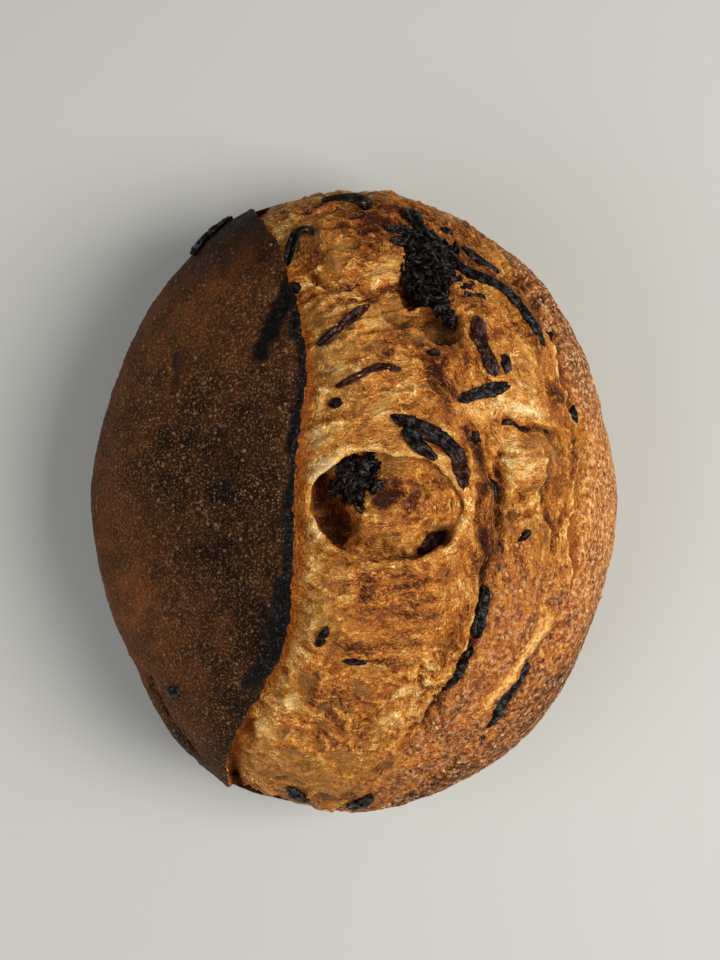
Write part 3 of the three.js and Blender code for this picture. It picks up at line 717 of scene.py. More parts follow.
def patch(spot, power=1):
    """1 in the middle of an ellipse in plan, fading past its edge; a high power has a rim."""
    return np.exp(-(ellipse_square(WX, WY, *spot) ** power))


pitted = patch((25, -58, 11, 17, -22), 1.5)
webbed = patch((34, 50, 9, 22, 18), 1.5)

# Sheets: the crumb is a foam of stretched bubbles. Their walls stand up as thin webs.
SHEETS = (
    (4, 46, 24, 26, -18, 1), (-8, -70, 30, 24, -30, 1), (-8, -32, 12, 12, 0, 1),
    (0, 86, 24, 14, 0, 0.7), (57, 6, 11, 24, 0, 0.6),
)
turned_x = -0.37 * WX + 0.93 * WY
turned_y = 0.93 * WX + 0.37 * WY
_, across_edge, across_lot = nearest_spots(WX / 1.7, WY + 0.12 * WX, 6.2, 3)
_, slant_edge, slant_lot = nearest_spots(turned_x / 1.7, turned_y, 5, 8)
drawn_across = smooth(read_grid(grid_c, X, Y), -0.4, 0.2)


def by_lie(across, slant):
    """Of two patterns, the one that lies as the fibres do."""
    return drawn_across * across + (1 - drawn_across) * slant


webs = by_lie(bell(across_edge, 0.1), bell(slant_edge, 0.1))
bubble = by_lie(np.minimum(across_edge, 0.6), np.minimum(slant_edge, 0.6))
bubble_lot = np.where(drawn_across > 0.5, across_lot, slant_lot)
sheeted = np.zeros_like(X)
for *spot, most in SHEETS:
    sheeted = np.maximum(sheeted, most * patch(spot, 2))
sheeted = (0.22 + 0.78 * sheeted) * torn * (1 - 0.7 * in_crater)
webs = webs * sheeted
bubble_clear = sheeted * smooth(bubble_lot, 0.3, 0.9) * smooth(bubble, 0.0, 0.55)

large_pit = nearest_spots(turned_x / 1.5, turned_y, 2.9, 5)[0]
small_pit = nearest_spots(turned_x / 1.3, turned_y, 1.7, 40)[0]
hole = np.maximum(0, 0.56 - large_pit) + 0.5 * np.maximum(0, 0.48 - small_pit)
pit_rim = bell(large_pit - 0.62, 0.09)


def folded(x, y, level):
    """Folds with crisp crests at 1 and wide valleys."""
    return 1 - 2.2 * np.abs(noise(x, y, level))


strand_ridges = 0.75 * bell(broad, 0.45) + 0.5 * bell(thin, 0.5)
smoother = 1 - 0.65 * bubble_clear
relief += torn * smoother * (0.5 * strand_ridges + 0.3 * broad + 0.12 * thin + 0.22 * fine)
relief += torn * 0.35 * blotch
crests = by_lie(folded(WX / 7, WY / 2.5, 41.7), folded(turned_x / 7, turned_y / 2.5, 43.9))
crests = crests * (1 - in_crater) + in_crater * folded(X / 3.6, Y / 3.0, 27.3)
relief += torn * smoother * (0.72 - 0.42 * pitted) * crests
bake_and_shade -= torn * smoother * 0.12 * crests
swollen = np.where(bubble_lot > 0.72, -0.8, 1)
relief += WEB_HEIGHT * webs - sheeted * BUBBLE_DEPTH * (bubble - 0.25) * swollen
relief -= torn * (1.5 * pitted + 0.6 * webbed + 0.1) * PIT_DEPTH * hole
ridge = 1 - np.abs(flat_noise(5.2, 12.4)) * 2.4
relief += torn * webbed * 0.9 * np.maximum(0, ridge)
bake_and_shade += torn * smoother * (0.05 * broad + 0.04 * thin + 0.06 * fine)
bake_and_shade += torn * (0.12 * np.minimum(blotch, 0.5) * (1 - 0.6 * sheeted) + 0.14 - 0.05 * sheeted)
bake_and_shade -= torn * smoother * 0.12 * strand_ridges
bake_and_shade += 0.1 * sheeted * (bubble_lot - 0.5) + 0.1 * webs * flat_noise(6, 15.3)
bake_and_shade -= 0.16 * webs * smooth(flat_noise(7, 17.1), -0.1, 0.4)
# The pits are darker inside, painted shade, and their rims paler.
bake_and_shade += torn * pitted * (0.42 * hole - 0.2 * pit_rim - 0.12)
relief += torn * pitted * 0.7 * pit_rim
window += 0.8 * bubble_clear
gloss += 0.35 * bubble_clear + 0.2 * webs
crag = patch((60, 69, 6, 14, 42), 2)
relief += crag * (2.8 * deep_noise(2.8) + 1.6 * deep_noise(1.3))

# The sandy crust outside the scores, and the crescents between them.
lower_right = smooth(-Y, 10, 60)
# The sandy crust is darker towards the top of the loaf, painted shade where less light reaches it,
# and darker towards the lower right.
sandy_bake_and_shade = SANDY_BAKE + 0.08 * lower_right + 0.16 * smooth(Y, 16, 50) + 0.05 * blotch
sandy_bake_and_shade += (0.05 + 0.12 * smooth(-Y, 60, 85)) * crescent + 0.05 * broad * crescent
bake_and_shade = bake_and_shade * (1 - sandy) + sandy_bake_and_shade * sandy
sandy_gloss = SANDY_GLOSS - 0.1 * lower_right - 0.06 * smooth(Y, 40, 75)
gloss = gloss * (1 - sandy) + sandy_gloss * sandy
# The channel is darker towards its upper end, painted shade where the gap is deepest, and towards its
# lower end.
channel_bake_and_shade = CHANNEL_BAKE + 0.24 * smooth(Y, 24, 34) + 0.16 * smooth(-Y, 4, 16)
bake_and_shade = bake_and_shade * (1 - channel) + channel_bake_and_shade * channel
gloss = gloss * (1 - channel) + CHANNEL_GLOSS * channel
bake_and_shade += 0.45 * painted_shadow_line - 0.14 * crust_edge * jagged
sandy = sandy * (1 - channel)
torn = torn * (1 - 0.8 * channel)
sandy_bumps = 0.25 * deep_noise(2.4) + 0.25 * deep_noise(6)
relief += sandy * (sandy_bumps + 0.35 * blotch * 0.5)
height += is_crumb * crown * relief
height += is_crumb * (1 - crown) * 0.3 * sandy_bumps

# The ear's crust: dark, smooth at the tip, and charred along the lip.
ear_bumps = 0.18 * deep_noise(1.9) + 0.22 * deep_noise(7)
height += np.where(ear > 0.5, ear_bumps * (1 - 0.8 * smooth(Y, 70, 92)), 0)
lip_crust = (1 - smooth(np.abs(behind_lip), 3, 7)) * smooth(Y, -62, -45) * (1 - smooth(Y, 66, 80))
burnt_bumps = 0.8 * noise(X / 3.4, Y / 4.2, Z / 3) + 0.35 * noise(X / 1.5, Y / 1.7, Z / 1.5)
height += np.where(ear > 0.5, lip_crust * burnt_bumps, 0)
ear_bake = EAR_BAKE + 0.05 * blotch - 0.07 * smooth(-X, 52, 88)
ear_bake += 0.07 * np.exp(-ellipse_square(X, Y, -40, 0, 24, 44, 10))
ear_bake += 0.07 * smooth(-Y, 16, 56) * smooth(X, -52, -30) + 0.08 * smooth(Y, 70, 88)
ear_bake -= 0.09 * np.exp(-ellipse_square(X, Y, -66, -46, 24, 36, 20))
ear_bake -= 0.11 * np.exp(-ellipse_square(X, Y, -50, 62, 24, 28, -30))
in_fold = (column >= before_fold) & (column < after_fold)
past_lip = np.where(in_fold, np.interp(fold_place, fold_keys, [past for past, _ in FOLD]), 0)
behind = np.where(is_crust, np.abs(behind_lip), np.maximum(0, -past_lip))
lip_reach = 1.9 + 1.4 * noise(Y / 13, 5.5) + 1.0 * noise(X / 2.2, Y / 2.6, 3.1)
lip_reach = lip_reach + 3 * smooth(-Y, 18, 30)
lip_char = smooth(Y, -62, -50) * (1 - smooth(Y, 66, 76))
lip_char = lip_char * (1 - smooth(behind, lip_reach, lip_reach + 1.6))
scorch_distance = near_path(X, Y, ((-17.5, 71), (-21, 62), (-28.7, 46.6)))[0]
scorch = 1 - smooth(scorch_distance + 0.8 * fine, 2.2, 3.6)
mark_distance = near_path(X, Y, ((-58, 48), (-58, 37)))[0]
mark = 0.7 * (1 - smooth(mark_distance + 0.5 * fine, 0.8, 2.0))
char = ear * np.clip(np.maximum(np.maximum(lip_char, scorch), mark), 0, 1)
bake_and_shade = np.where(ear > 0, bake_and_shade * (1 - ear) + ear_bake * ear, bake_and_shade)
bake_and_shade += ear * 0.1 * bell(crease_distance, 1.6) * crease_ends
char_gloss = char * (0.7 - 0.5 * scorch + 0.3 * flat_noise(3, 9.9))
gloss = gloss * (1 - ear) + (EAR_GLOSS + char_gloss) * ear

# Under the ear the slit is orange where it tore, and painted shade darkens it deeper in.
slit_depth = smooth(fold_place, LIP_AT + 0.6, 7.5)
bake_and_shade -= 0.22 * is_crumb * bell(fold_place - CRUMB_AT, 1.8) * (1 - smooth(fold_place, 50, 60))
torn_rim = 0.09 * flat_noise(3, 19.2)
slit_bake_and_shade = SLIT_BAKE + torn_rim + SLIT_PAINTED_SHADE * slit_depth
bake_and_shade = bake_and_shade * (1 - under_ear) + slit_bake_and_shade * under_ear
torn = np.maximum(torn, 0.8 * under_ear)

# Sides and underneath baked an even brown.
wavering = out[..., 2] + 0.12 * deep_noise(9) + 0.05 * deep_noise(3)
below = 1 - smooth(wavering, 0, CROWN_FACING)
left_side = smooth(-X, -20, 20)
right_bake = (RIGHT_SIDE_BAKE + 0.04 * blotch) * (1 - left_side) * SIDE_SHARE
side_bake = right_bake + LEFT_SIDE_BAKE * left_side
bake_and_shade = bake_and_shade * (1 - SIDE_SHARE * below * (1 - sandy)) + side_bake * SIDE_SHARE * below * (1 - sandy)
underneath = smooth(-out[..., 2], 0.3, 0.8)
bake_and_shade = bake_and_shade * (1 - underneath) + UNDERSIDE_BAKE * underneath
sandy = np.maximum(sandy, is_crumb * smooth(below, 0.2, 0.8))
char = char * (1 - underneath)

points = place + out * height[..., None]
points[..., 0] += is_crumb * crown * slide_x
points[..., 1] += is_crumb * crown * slide_y
points[..., 2] = np.maximum(points[..., 2], 0)
low_corner = np.array(cad_box[0]) / MM
high_corner = np.array(cad_box[1]) / MM
points = np.clip(points, low_corner, high_corner)


def end_point(angle):
    spot, face_out = plain_skin(np.array([[angle]]), np.array([[0.0]]))
    lift = lumps(*[spot[..., k] for k in range(3)])
    return (spot + face_out * lift[..., None]).reshape(1, 3)


def closed_net(rows, columns):
    """Faces over rows of points that run all round, between a first and a last point."""
    grid = 1 + np.arange(rows * columns).reshape(rows, columns)
    beside = np.roll(grid, -1, axis=1)
    quads = np.stack([grid[:-1], grid[1:], beside[1:], beside[:-1]], axis=-1).reshape(-1, 4)
    last = rows * columns + 1
    first_fan = np.stack([0 * grid[0], grid[0], beside[0]], axis=-1)
    last_fan = np.stack([last + 0 * grid[0], beside[-1], grid[-1]], axis=-1)
    return quads.tolist() + first_fan.tolist() + last_fan.tolist()


def smooth_mesh(name, spots, faces):
    mesh = bpy.data.meshes.new(name)
    mesh.from_pydata(spots, [], faces)
    mesh.polygons.foreach_set("use_smooth", [True] * len(mesh.polygons))
    return mesh


def keep_values(mesh, name, kind, values):
    """Keeps a value, or a vector, at each vertex of a mesh."""
    kept = mesh.attributes.new(name, kind, "POINT")
    kept.data.foreach_set("value" if kind == "FLOAT" else "vector", values)


vertices = np.concatenate([end_point(1e-6), points.reshape(-1, 3), end_point(np.pi - 1e-6)])
vertices = np.clip(vertices, low_corner, high_corner) * MM
faces = closed_net(ROWS - 1, columns)
bread_mesh = smooth_mesh("bread", vertices.tolist(), faces)


def store(name, *layers):
    """One value, or three, at each vertex of the bread, for its material to read."""
    kind = "FLOAT" if len(layers) == 1 else "FLOAT_VECTOR"
    flat = [np.concatenate([[v.flat[0]], v.ravel(), [v.flat[-1]]]) for v in layers]
    keep_values(bread_mesh, name, kind, np.stack(flat, axis=1).ravel().astype(np.float32))


grain_c, grain_s = grain(X, Y)
strand_angle = 0.5 * np.arctan2(grain_s, grain_c)
strand_x = np.cos(strand_angle)
strand_y = np.sin(strand_angle)
strand_rise = -(out[..., 0] * strand_x + out[..., 1] * strand_y) / np.maximum(out[..., 2], 0.2)
porous = np.clip(0.05 + 0.95 * pitted + 0.5 * webbed + 0.5 * flat_noise(9, 23.1), 0, 1.2)
porous = porous * (1 - 0.5 * in_crater) * (1 - 0.75 * bubble_clear)
hairy = torn * crown * np.clip(0.2 + 0.7 * flat_noise(8, 20.5) + 0.8 * webs, 0.05, 1)
off_base = smooth(-out[..., 2], 0.6, -0.2)
patchy = np.clip(0.6 + 0.9 * flat_noise(12, 31.5), 0.1, 1)
smooth_tip = 1 - 0.9 * smooth(Y, 68, 88)
store("bake_and_shade", np.clip(bake_and_shade, 0, 1))
store("zone", ear, np.clip(sandy, 0, 1), np.clip(window * torn, 0, 1))
store("finish", np.clip(char, 0, 1), np.clip(gloss, 0, 1), np.clip(torn, 0, 1))
store("lie", grain_c, grain_s, porous)
store("strand", strand_x, strand_y, strand_rise)
store("hair", hairy * (1 - 0.7 * in_crater))
store("ear_blistered", ear * (1 - char) * patchy * off_base * smooth_tip)
store("sandy_blistered", is_crumb * sandy * (1 - 0.5 * crescent) * off_base)


def keep_in_box(mesh):
    """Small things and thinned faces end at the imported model's own outermost points."""
    spots = np.zeros(3 * len(mesh.vertices), np.float32)
    mesh.vertices.foreach_get("co", spots)
    spots = np.clip(spots.reshape(-1, 3), cad_box[0], cad_box[1])
    mesh.vertices.foreach_set("co", spots.astype(np.float32).ravel())


# The net is finer than one piece may be, so its flat stretches give up their small faces.
net = new_object("net", bread_mesh)
thinning = net.modifiers.new("thinning", "DECIMATE")
thinning.ratio = MOST_TRIANGLES / sum(len(face) - 2 for face in faces)
evaluated = net.evaluated_get(bpy.context.evaluated_depsgraph_get())
bread_mesh = bpy.data.meshes.new_from_object(evaluated)
bread_mesh.name = "bread"
bpy.data.objects.remove(net)
keep_in_box(bread_mesh)
bread = new_object("bread", bread_mesh)

# --- The bread: its surface -----------------------------------------------------------------
# Baked dough browns from cream through amber to black. The torn crumb is glossy and fibrous,
# the ear is matt and peppered with tiny tan blisters, and the right crust with pale ones.

BROWNING = (
    (0.00, "fbdc9e"), (0.14, "eaba6c"), (0.28, "d29541"), (0.42, "b76f26"), (0.56, "98531c"),
    (0.70, "713c17"), (0.82, "4b2811"), (0.92, "2c180b"), (1.00, "110b07"),
)
WINDOW_COLOUR = "9e7338"
FLOURY_COLOUR = "e6b886"
EAR_BLISTER = "96714a"
CHAR_COLOUR = "0c0908"
RED_DARK = "45180a"
COAT_ROUGHNESS = 0.14
BUMP_STRENGTH = 0.9
SOCKET_KINDS = {float: "Float", int: "Int"}


class Field:
    """What one output of a node gives. Fields are added and multiplied as numbers are."""

    def __init__(self, tree, socket):
        self.tree = tree
        self.socket = socket

    def __add__(self, other):
        return calc("ADD", self, other)

    def __sub__(self, other):
        return calc("SUBTRACT", self, other)

    def __rsub__(self, other):
        return calc("SUBTRACT", other, self)

    def __mul__(self, other):
        return calc("MULTIPLY", self, other)

    def __truediv__(self, other):
        return calc("DIVIDE", self, other)

    def __rtruediv__(self, other):
        return calc("DIVIDE", other, self)


def feed(value, node, name):
    value.tree.links.new(value.socket, node.inputs[name])


def add_node(tree, kind, inputs=(), **settings):
    """One node of a tree. Each input is a value, or the field that feeds it."""
    made = tree.nodes.new(kind)
    for name, value in settings.items():
        setattr(made, name, value)
    for name, value in dict(inputs).items():
        if isinstance(value, Field):
            feed(value, made, name)
        else:
            made.inputs[name].default_value = value
    return made


def field(tree, kind, inputs=(), out=0, **settings):
    return Field(tree, add_node(tree, kind, inputs, **settings).outputs[out])


def calc(operation, a, b=0.0):
    tree = a.tree if isinstance(a, Field) else b.tree
    return field(tree, "ShaderNodeMath", {0: a, 1: b}, operation=operation)


def clamped(value):
    """The same value, kept from 0 to 1 by the node that works it out."""
    value.socket.node.use_clamp = True
    return value


def vector_calc(operation, a, other):
    slot = "Scale" if operation == "SCALE" else 1
    return field(a.tree, "ShaderNodeVectorMath", {0: a, slot: other}, operation=operation)


def split(vector):
    parts = add_node(vector.tree, "ShaderNodeSeparateXYZ", {0: vector}).outputs
    return [Field(vector.tree, part) for part in parts]


def joined(tree, x=0.0, y=0.0, z=0.0):
    return field(tree, "ShaderNodeCombineXYZ", {0: x, 1: y, 2: z})


def blend(share, a, b):
    return field(share.tree, "ShaderNodeMix", {0: share, 6: a, 7: b}, out=2, data_type="RGBA")


def ranged(value, low, high, to_low=0.0, to_high=1.0):
    ends = {0: value, 1: low, 2: high, 3: to_low, 4: to_high}
    return field(value.tree, "ShaderNodeMapRange", ends)


def noise_node(place, scale, detail=3.0, roughness=0.55):
    ends = {"Vector": place, "Scale": scale, "Detail": detail, "Roughness": roughness}
    return field(place.tree, "ShaderNodeTexNoise", ends, out="Fac")


def new_group(kind, name, sockets_in, sockets_out):
    """A node group with named sockets, what comes into it, and its output node. A socket is
    given by its kind, or by a number that it starts from."""
    group = bpy.data.node_groups.new(name, kind)
    for way, sockets in (("INPUT", sockets_in), ("OUTPUT", sockets_out)):
        for socket, start in sockets.items():
            socket_kind = "NodeSocket" + SOCKET_KINDS.get(type(start), str(start))
            made = group.interface.new_socket(socket, in_out=way, socket_type=socket_kind)
            if type(start) in SOCKET_KINDS:
                made.default_value = start
    given = {made.name: Field(group, made) for made in group.nodes.new("NodeGroupInput").outputs}
    return group, given, group.nodes.new("NodeGroupOutput")


def grouped(group, **inputs):
    """What a node group gives out, in order, in the tree of what feeds it."""
    tree = next(value.tree for value in inputs.values() if isinstance(value, Field))
    node = add_node(tree, "ShaderNodeGroup", inputs, node_tree=group)
    return [Field(tree, socket) for socket in node.outputs]


def stored(tree, name, out="Vector"):
    return field(tree, "ShaderNodeAttribute", out=out, attribute_name=name)


def own_place(tree):
    return field(tree, "ShaderNodeTexCoord", out="Object")


def set_gloss(shader, coat, specular):
    feed(coat, shader, "Coat Weight")
    shader.inputs["Coat Roughness"].default_value = COAT_ROUGHNESS
    shader.inputs["Specular IOR Level"].default_value = specular


def set_bump(shader, height, distance):
    """Relief too fine for the mesh, under the gloss as well as in the skin."""
    ends = {"Height": height, "Distance": distance, "Strength": BUMP_STRENGTH}
    bump = field(height.tree, "ShaderNodeBump", ends)
    feed(bump, shader, "Normal")
    feed(bump, shader, "Coat Normal")


# Browning: how far the dough baked, as a colour.
browning, given, result = new_group(
    "ShaderNodeTree", "browning", {"Bake": 0.5}, {"Color": "Color"}
)
ramp = add_node(browning, "ShaderNodeValToRGB", {0: given["Bake"]})
elements = ramp.color_ramp.elements
while len(elements) < len(BROWNING):
    elements.new(0.5)
for element, (at, code) in zip(elements, BROWNING):
    element.position = at
    element.color = srgb(code)
feed(Field(browning, ramp.outputs["Color"]), result, "Color")

# Fibres: fine random strands that lie in the grain's direction. Strands in four fixed
# directions are made, and each place shows the two that lie nearest its own. Threads are
# the dark lines between strands.
fibres, given, result = new_group(
    "ShaderNodeTree",
    "fibres",
    {"Place": "Vector", "Lie": "Vector", "Fineness": 1100.0, "Stretch": 7.0},
    {"Strands": "Float", "Threads": "Float"},
)
fineness = given["Fineness"]
ends = {"Vector": given["Place"], "Scale": fineness * 0.35, "Detail": 1.0}
wander = field(fibres, "ShaderNodeTexNoise", ends, out="Color")
wander = vector_calc("SUBTRACT", wander, (0.5, 0.5, 0.5))
wander = vector_calc("SCALE", wander, 3.6 / fineness)
wandered = vector_calc("ADD", given["Place"], wander)
lie_x, lie_y, _ = split(given["Lie"])
strand_total = 0.0
thread_total = 0.0
weights = 0.0
for turn in (0, 45, 90, 135):
    c = math.cos(math.radians(2 * turn))
    s = math.sin(math.radians(2 * turn))
    near = calc("MAXIMUM", lie_x * c + lie_y * s, 0.0)
    near = near * near
    ends = {"Vector": wandered, "Angle": -math.radians(turn)}
    x, y, z = split(field(fibres, "ShaderNodeVectorRotate", ends, rotation_type="Z_AXIS"))
    strand = noise_node(joined(fibres, x / given["Stretch"], y, z), fineness, 2.0, 0.65)
    thread = clamped(1.0 - calc("ABSOLUTE", strand - 0.5) * 17.0)
    strand_total = strand * near + strand_total
    thread_total = thread * near + thread_total
    weights = near + weights
feed(strand_total / weights, result, "Strands")
feed(thread_total / weights, result, "Threads")

# Blisters: scattered small domes. Only some of the cells have one.
blisters, given, result = new_group(
    "ShaderNodeTree",
    "blisters",
    {"Place": "Vector", "Scale": 700.0, "Share": 0.5, "Radius": 0.4},
    {"Dome": "Float"},
)
ends = {"Vector": given["Place"], "Scale": given["Scale"]}
cell = add_node(blisters, "ShaderNodeTexVoronoi", ends).outputs
lot = add_node(blisters, "ShaderNodeSeparateColor", {0: Field(blisters, cell["Color"])}).outputs
chosen = calc("LESS_THAN", Field(blisters, lot[0]), given["Share"])
radius = given["Radius"] * ranged(Field(blisters, lot[1]), 0, 1, 0.5, 1.1)
inside = clamped(1.0 - Field(blisters, cell["Distance"]) / radius)
feed(calc("SQRT", inside) * chosen, result, "Dome")


def dough_material(name, specular, coated):
    """Baked dough that reads what was kept at each vertex. Crumb and crust differ in gloss."""
    material, tree, shader = new_material(name, 0.5)
    at = own_place(tree)
    shaded_bake = stored(tree, "bake_and_shade", "Fac")
    ear, sandy, window = split(stored(tree, "zone"))
    char, gloss, torn = split(stored(tree, "finish"))
    lie = stored(tree, "lie")
    porous = split(lie)[2]
    strands, threads = grouped(fibres, Place=at, Lie=lie, Fineness=1400.0, Stretch=5.0)
    folds, fold_lines = grouped(fibres, Place=at, Lie=lie, Fineness=600.0, Stretch=3.6)
    speck = noise_node(at, 900.0, 2.0, 0.65)
    mottle = noise_node(at, 160.0, 3.0, 0.6)
    grit = noise_node(at, 1150.0, 2.0, 0.7)
    flour = noise_node(at, 560.0, 3.0, 0.7)
    [small] = grouped(blisters, Place=at, Scale=1150.0, Share=0.42, Radius=0.4)
    [large] = grouped(blisters, Place=at, Scale=560.0, Share=0.26, Radius=0.36)

    # Strands and folds are paler, the threads between them and the flour's rubbed spots darker.
    swing = (strands - 0.5) * 0.5 + (folds - 0.5) * 0.5 - threads * 0.24 - fold_lines * 0.34
    swing = swing + (small + large * 1.3) * porous * 0.4 + 0.14
    swing = swing * ((1.0 - window * 0.45) * torn)
    rubbed = 0.52 - flour
    drawn = (folds - 0.5) * 1.1 - fold_lines * 0.16 + 0.05
    speck_swing = (speck - 0.5) * 0.3
    mottle_swing = (mottle - 0.5) * 0.2
    final = shaded_bake + swing + (rubbed + drawn) * sandy
    final = clamped(final + (speck_swing + mottle_swing))
    [colour] = grouped(browning, Bake=final)
    colour = blend(ranged(final, 0.6, 0.85, 0.0, 0.5) * torn, colour, srgb(RED_DARK))
    colour = blend(window * 0.6, colour, srgb(WINDOW_COLOUR))
    floury = ranged(flour, 0.5, 0.66, 0.04, 0.75) * sandy * ranged(gloss, 0.05, 0.15, 0.45, 1.05)
    colour = blend(floury, colour, srgb(FLOURY_COLOUR))

    peppered = ranged(noise_node(at, 45.0, 3.0), 0.36, 0.6, 0.25, 1.0)
    spots = calc("MAXIMUM", small * 0.85, large) * peppered * clamped(ear - char)
    colour = blend(spots, colour, srgb(EAR_BLISTER))
    smooth_skin = clamped(char + ranged(split(at)[1], 0.066, 0.082, 0.0, 0.85))
    dust = ranged(grit, 0.54, 0.66, 0.0, 0.45) * ear * (1.0 - smooth_skin)
    dust = dust * ranged(shaded_bake, 0.92, 1.0, 1.0, 0.3)
    colour = blend(dust, colour, srgb(EAR_BLISTER))
    burnt = char * ranged(mottle, 0.3, 0.5, 0.88, 1.0)
    feed(blend(burnt, colour, srgb(CHAR_COLOUR)), shader, "Base Color")
    feed(clamped(ranged(gloss, 0, 1, 0.62, 0.3) + speck_swing * 0.5), shader, "Roughness")

    # Gloss glints from the ridges alone, and not where the dough is dark and dry.
    coat = clamped(gloss - 0.08) * coated * ranged(speck, 0.49, 0.61, 0.06, 1.0)
    coat = coat * (1.0 - ranged(final, 0.5, 0.8, 0.0, 0.8) * torn)
    set_gloss(shader, coat, specular)
    surface = (fold_lines * 0.5 + folds * 2.0) * torn + grit * (1.5 - torn)
    set_bump(shader, surface, 0.8 * MM)
    return material


bread_mesh.materials.append(dough_material("torn_crumb", 0.1, 1.1))
bread_mesh.materials.append(dough_material("dark_crust", 0.03, 0.6))
kept = np.zeros(3 * len(bread_mesh.vertices), np.float32)
bread_mesh.attributes["zone"].data.foreach_get("vector", kept)
first_corner = np.zeros(len(bread_mesh.polygons), np.int32)
corner_vertex = np.zeros(len(bread_mesh.loops), np.int32)
bread_mesh.polygons.foreach_get("loop_start", first_corner)
bread_mesh.loops.foreach_get("vertex_index", corner_vertex)
on_ear = kept[0::3][corner_vertex[first_corner]] > 0.5
bread_mesh.polygons.foreach_set("material_index", on_ear.astype(np.int32))
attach(bread, "root")
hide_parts("loaf")

# --- Small things on the bread's skin -------------------------------------------------------
# Blisters are tiny bubbles that swelled in the skin of the dough and browned; threads are
# strands of dough that snapped as the crumb tore. Each kind is scattered over the bread.


def grown(tree, mesh, values):
    """The plain mesh that a Geometry Nodes tree makes from a mesh, with these named inputs."""
    holder = new_object("holder", mesh)
    modifier = holder.modifiers.new("nodes", "NODES")
    modifier.node_group = tree
    for item in tree.interface.items_tree:
        if item.in_out == "INPUT" and item.name in values:
            modifier[item.identifier] = values[item.name]
    evaluated = holder.evaluated_get(bpy.context.evaluated_depsgraph_get())
    made = bpy.data.meshes.new_from_object(evaluated)
    holder.modifiers.clear()
    bpy.data.objects.remove(holder)
    return made


def kept_field(tree, name, kind):
    """What the mesh keeps under a name."""
    return field(tree, "GeometryNodeInputNamedAttribute", {"Name": name}, data_type=kind)


def hand_out(geometry, material, result):
    """The end of a tree: plain geometry with its material."""
    tree = geometry.tree
    plain = field(tree, "GeometryNodeRealizeInstances", {"Geometry": geometry})
    ends = {"Geometry": plain, "Material": material}
    feed(field(tree, "GeometryNodeSetMaterial", ends), result, 0)


ANY_WAY = 3.2  # a swing that lets a copy lie in any direction

scatter_tree, given, result = new_group(
    "GeometryNodeTree",
    "scatter",
    {
        "Geometry": "Geometry", "Share": "String", "Density": 100000.0, "Thing": "Object",
        "Least": 0.5, "Most": 1.0, "Swing": ANY_WAY, "Seed": 1, "Material": "Material",
    },
    {"Geometry": "Geometry"},
)
density = kept_field(scatter_tree, given["Share"], "FLOAT") * given["Density"]
spots = add_node(
    scatter_tree, "GeometryNodeDistributePointsOnFaces",
    {"Mesh": given["Geometry"], "Density": density, "Seed": given["Seed"]},
).outputs
upright = field(
    scatter_tree, "FunctionNodeAlignRotationToVector",
    {"Vector": Field(scatter_tree, spots["Normal"])}, axis="Z",
)
drawn_along = field(
    scatter_tree, "FunctionNodeAlignRotationToVector",
    {"Rotation": upright, "Vector": kept_field(scatter_tree, "strand", "FLOAT_VECTOR")},
    axis="X", pivot_axis="Z",
)
swing = field(
    scatter_tree, "FunctionNodeRandomValue",
    {2: given["Swing"] * -1.0, 3: given["Swing"], "Seed": given["Seed"]}, out=1, data_type="FLOAT",
)
swing = field(scatter_tree, "FunctionNodeEulerToRotation", {0: joined(scatter_tree, z=swing)})
turned = field(
    scatter_tree, "FunctionNodeRotateRotation", {0: drawn_along, 1: swing}, rotation_space="LOCAL"
)
size = field(
    scatter_tree, "FunctionNodeRandomValue",
    {2: 0.0, 3: 1.0, "Seed": given["Seed"] + 7.0}, out=1, data_type="FLOAT",
)
size = given["Least"] + calc("POWER", size, 2.0) * (given["Most"] - given["Least"])
thing = field(scatter_tree, "GeometryNodeObjectInfo", {"Object": given["Thing"]}, out="Geometry")
placed = field(
    scatter_tree, "GeometryNodeInstanceOnPoints",
    {"Points": Field(scatter_tree, spots["Points"]), "Instance": thing, "Rotation": turned,
     "Scale": size},
)
hand_out(placed, given["Material"], result)


def scattered_over(mesh, shape, where, density, least, most, swing, seed, material):
    """Many copies of a shape, where the mesh keeps a share of them, as one plain mesh."""
    values = {
        "Share": where, "Density": density, "Thing": shape, "Least": least * MM,
        "Most": most * MM, "Swing": swing, "Seed": seed, "Material": material,
    }
    return grown(scatter_tree, mesh, values)


def add_piece(name, meshes, nodes):
    """One piece from one or more meshes, in place of CAD nodes, riding on the loaf."""
    parts = [new_object(name, mesh) for mesh in meshes]
    piece = parts[0]
    if len(parts) > 1:
        with bpy.context.temp_override(active_object=piece, selected_editable_objects=parts):
            bpy.ops.object.join()
    piece.data.name = name
    keep_in_box(piece.data)
    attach(piece, "root")
    if nodes:
        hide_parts(*nodes)


def shape_to_scatter(name, spots, faces):
    return bpy.data.objects.new(name, smooth_mesh(name, spots, faces))


# A blister 1 m across, to be scaled to its radius: a low dome whose foot is in the skin.
DOME_SIDES = 8
DOME_RINGS = ((0.62, 0.3), (1.0, -0.08))
dome_spots = [(0, 0, 0.42)]
for radius, level in DOME_RINGS:
    for i in range(DOME_SIDES):
        turn = 2 * math.pi * i / DOME_SIDES
        dome_spots.append((radius * math.cos(turn), radius * math.sin(turn), level))
dome_spots.append((0, 0, -0.3))
blister = shape_to_scatter("blister", dome_spots, closed_net(len(DOME_RINGS), DOME_SIDES))

SHARD_RINGS = 7
SHARD_SIDES = 4
# Each shard: half width, half thickness, bend and rise, as shares of its length.
THREAD_FORM = (0.026, 0.02, 0.2, 0.02)
CHIP_FORM = (0.14, 0.045, 0.22, 0.14)
CHIP_SIZES = (2.5, 8)


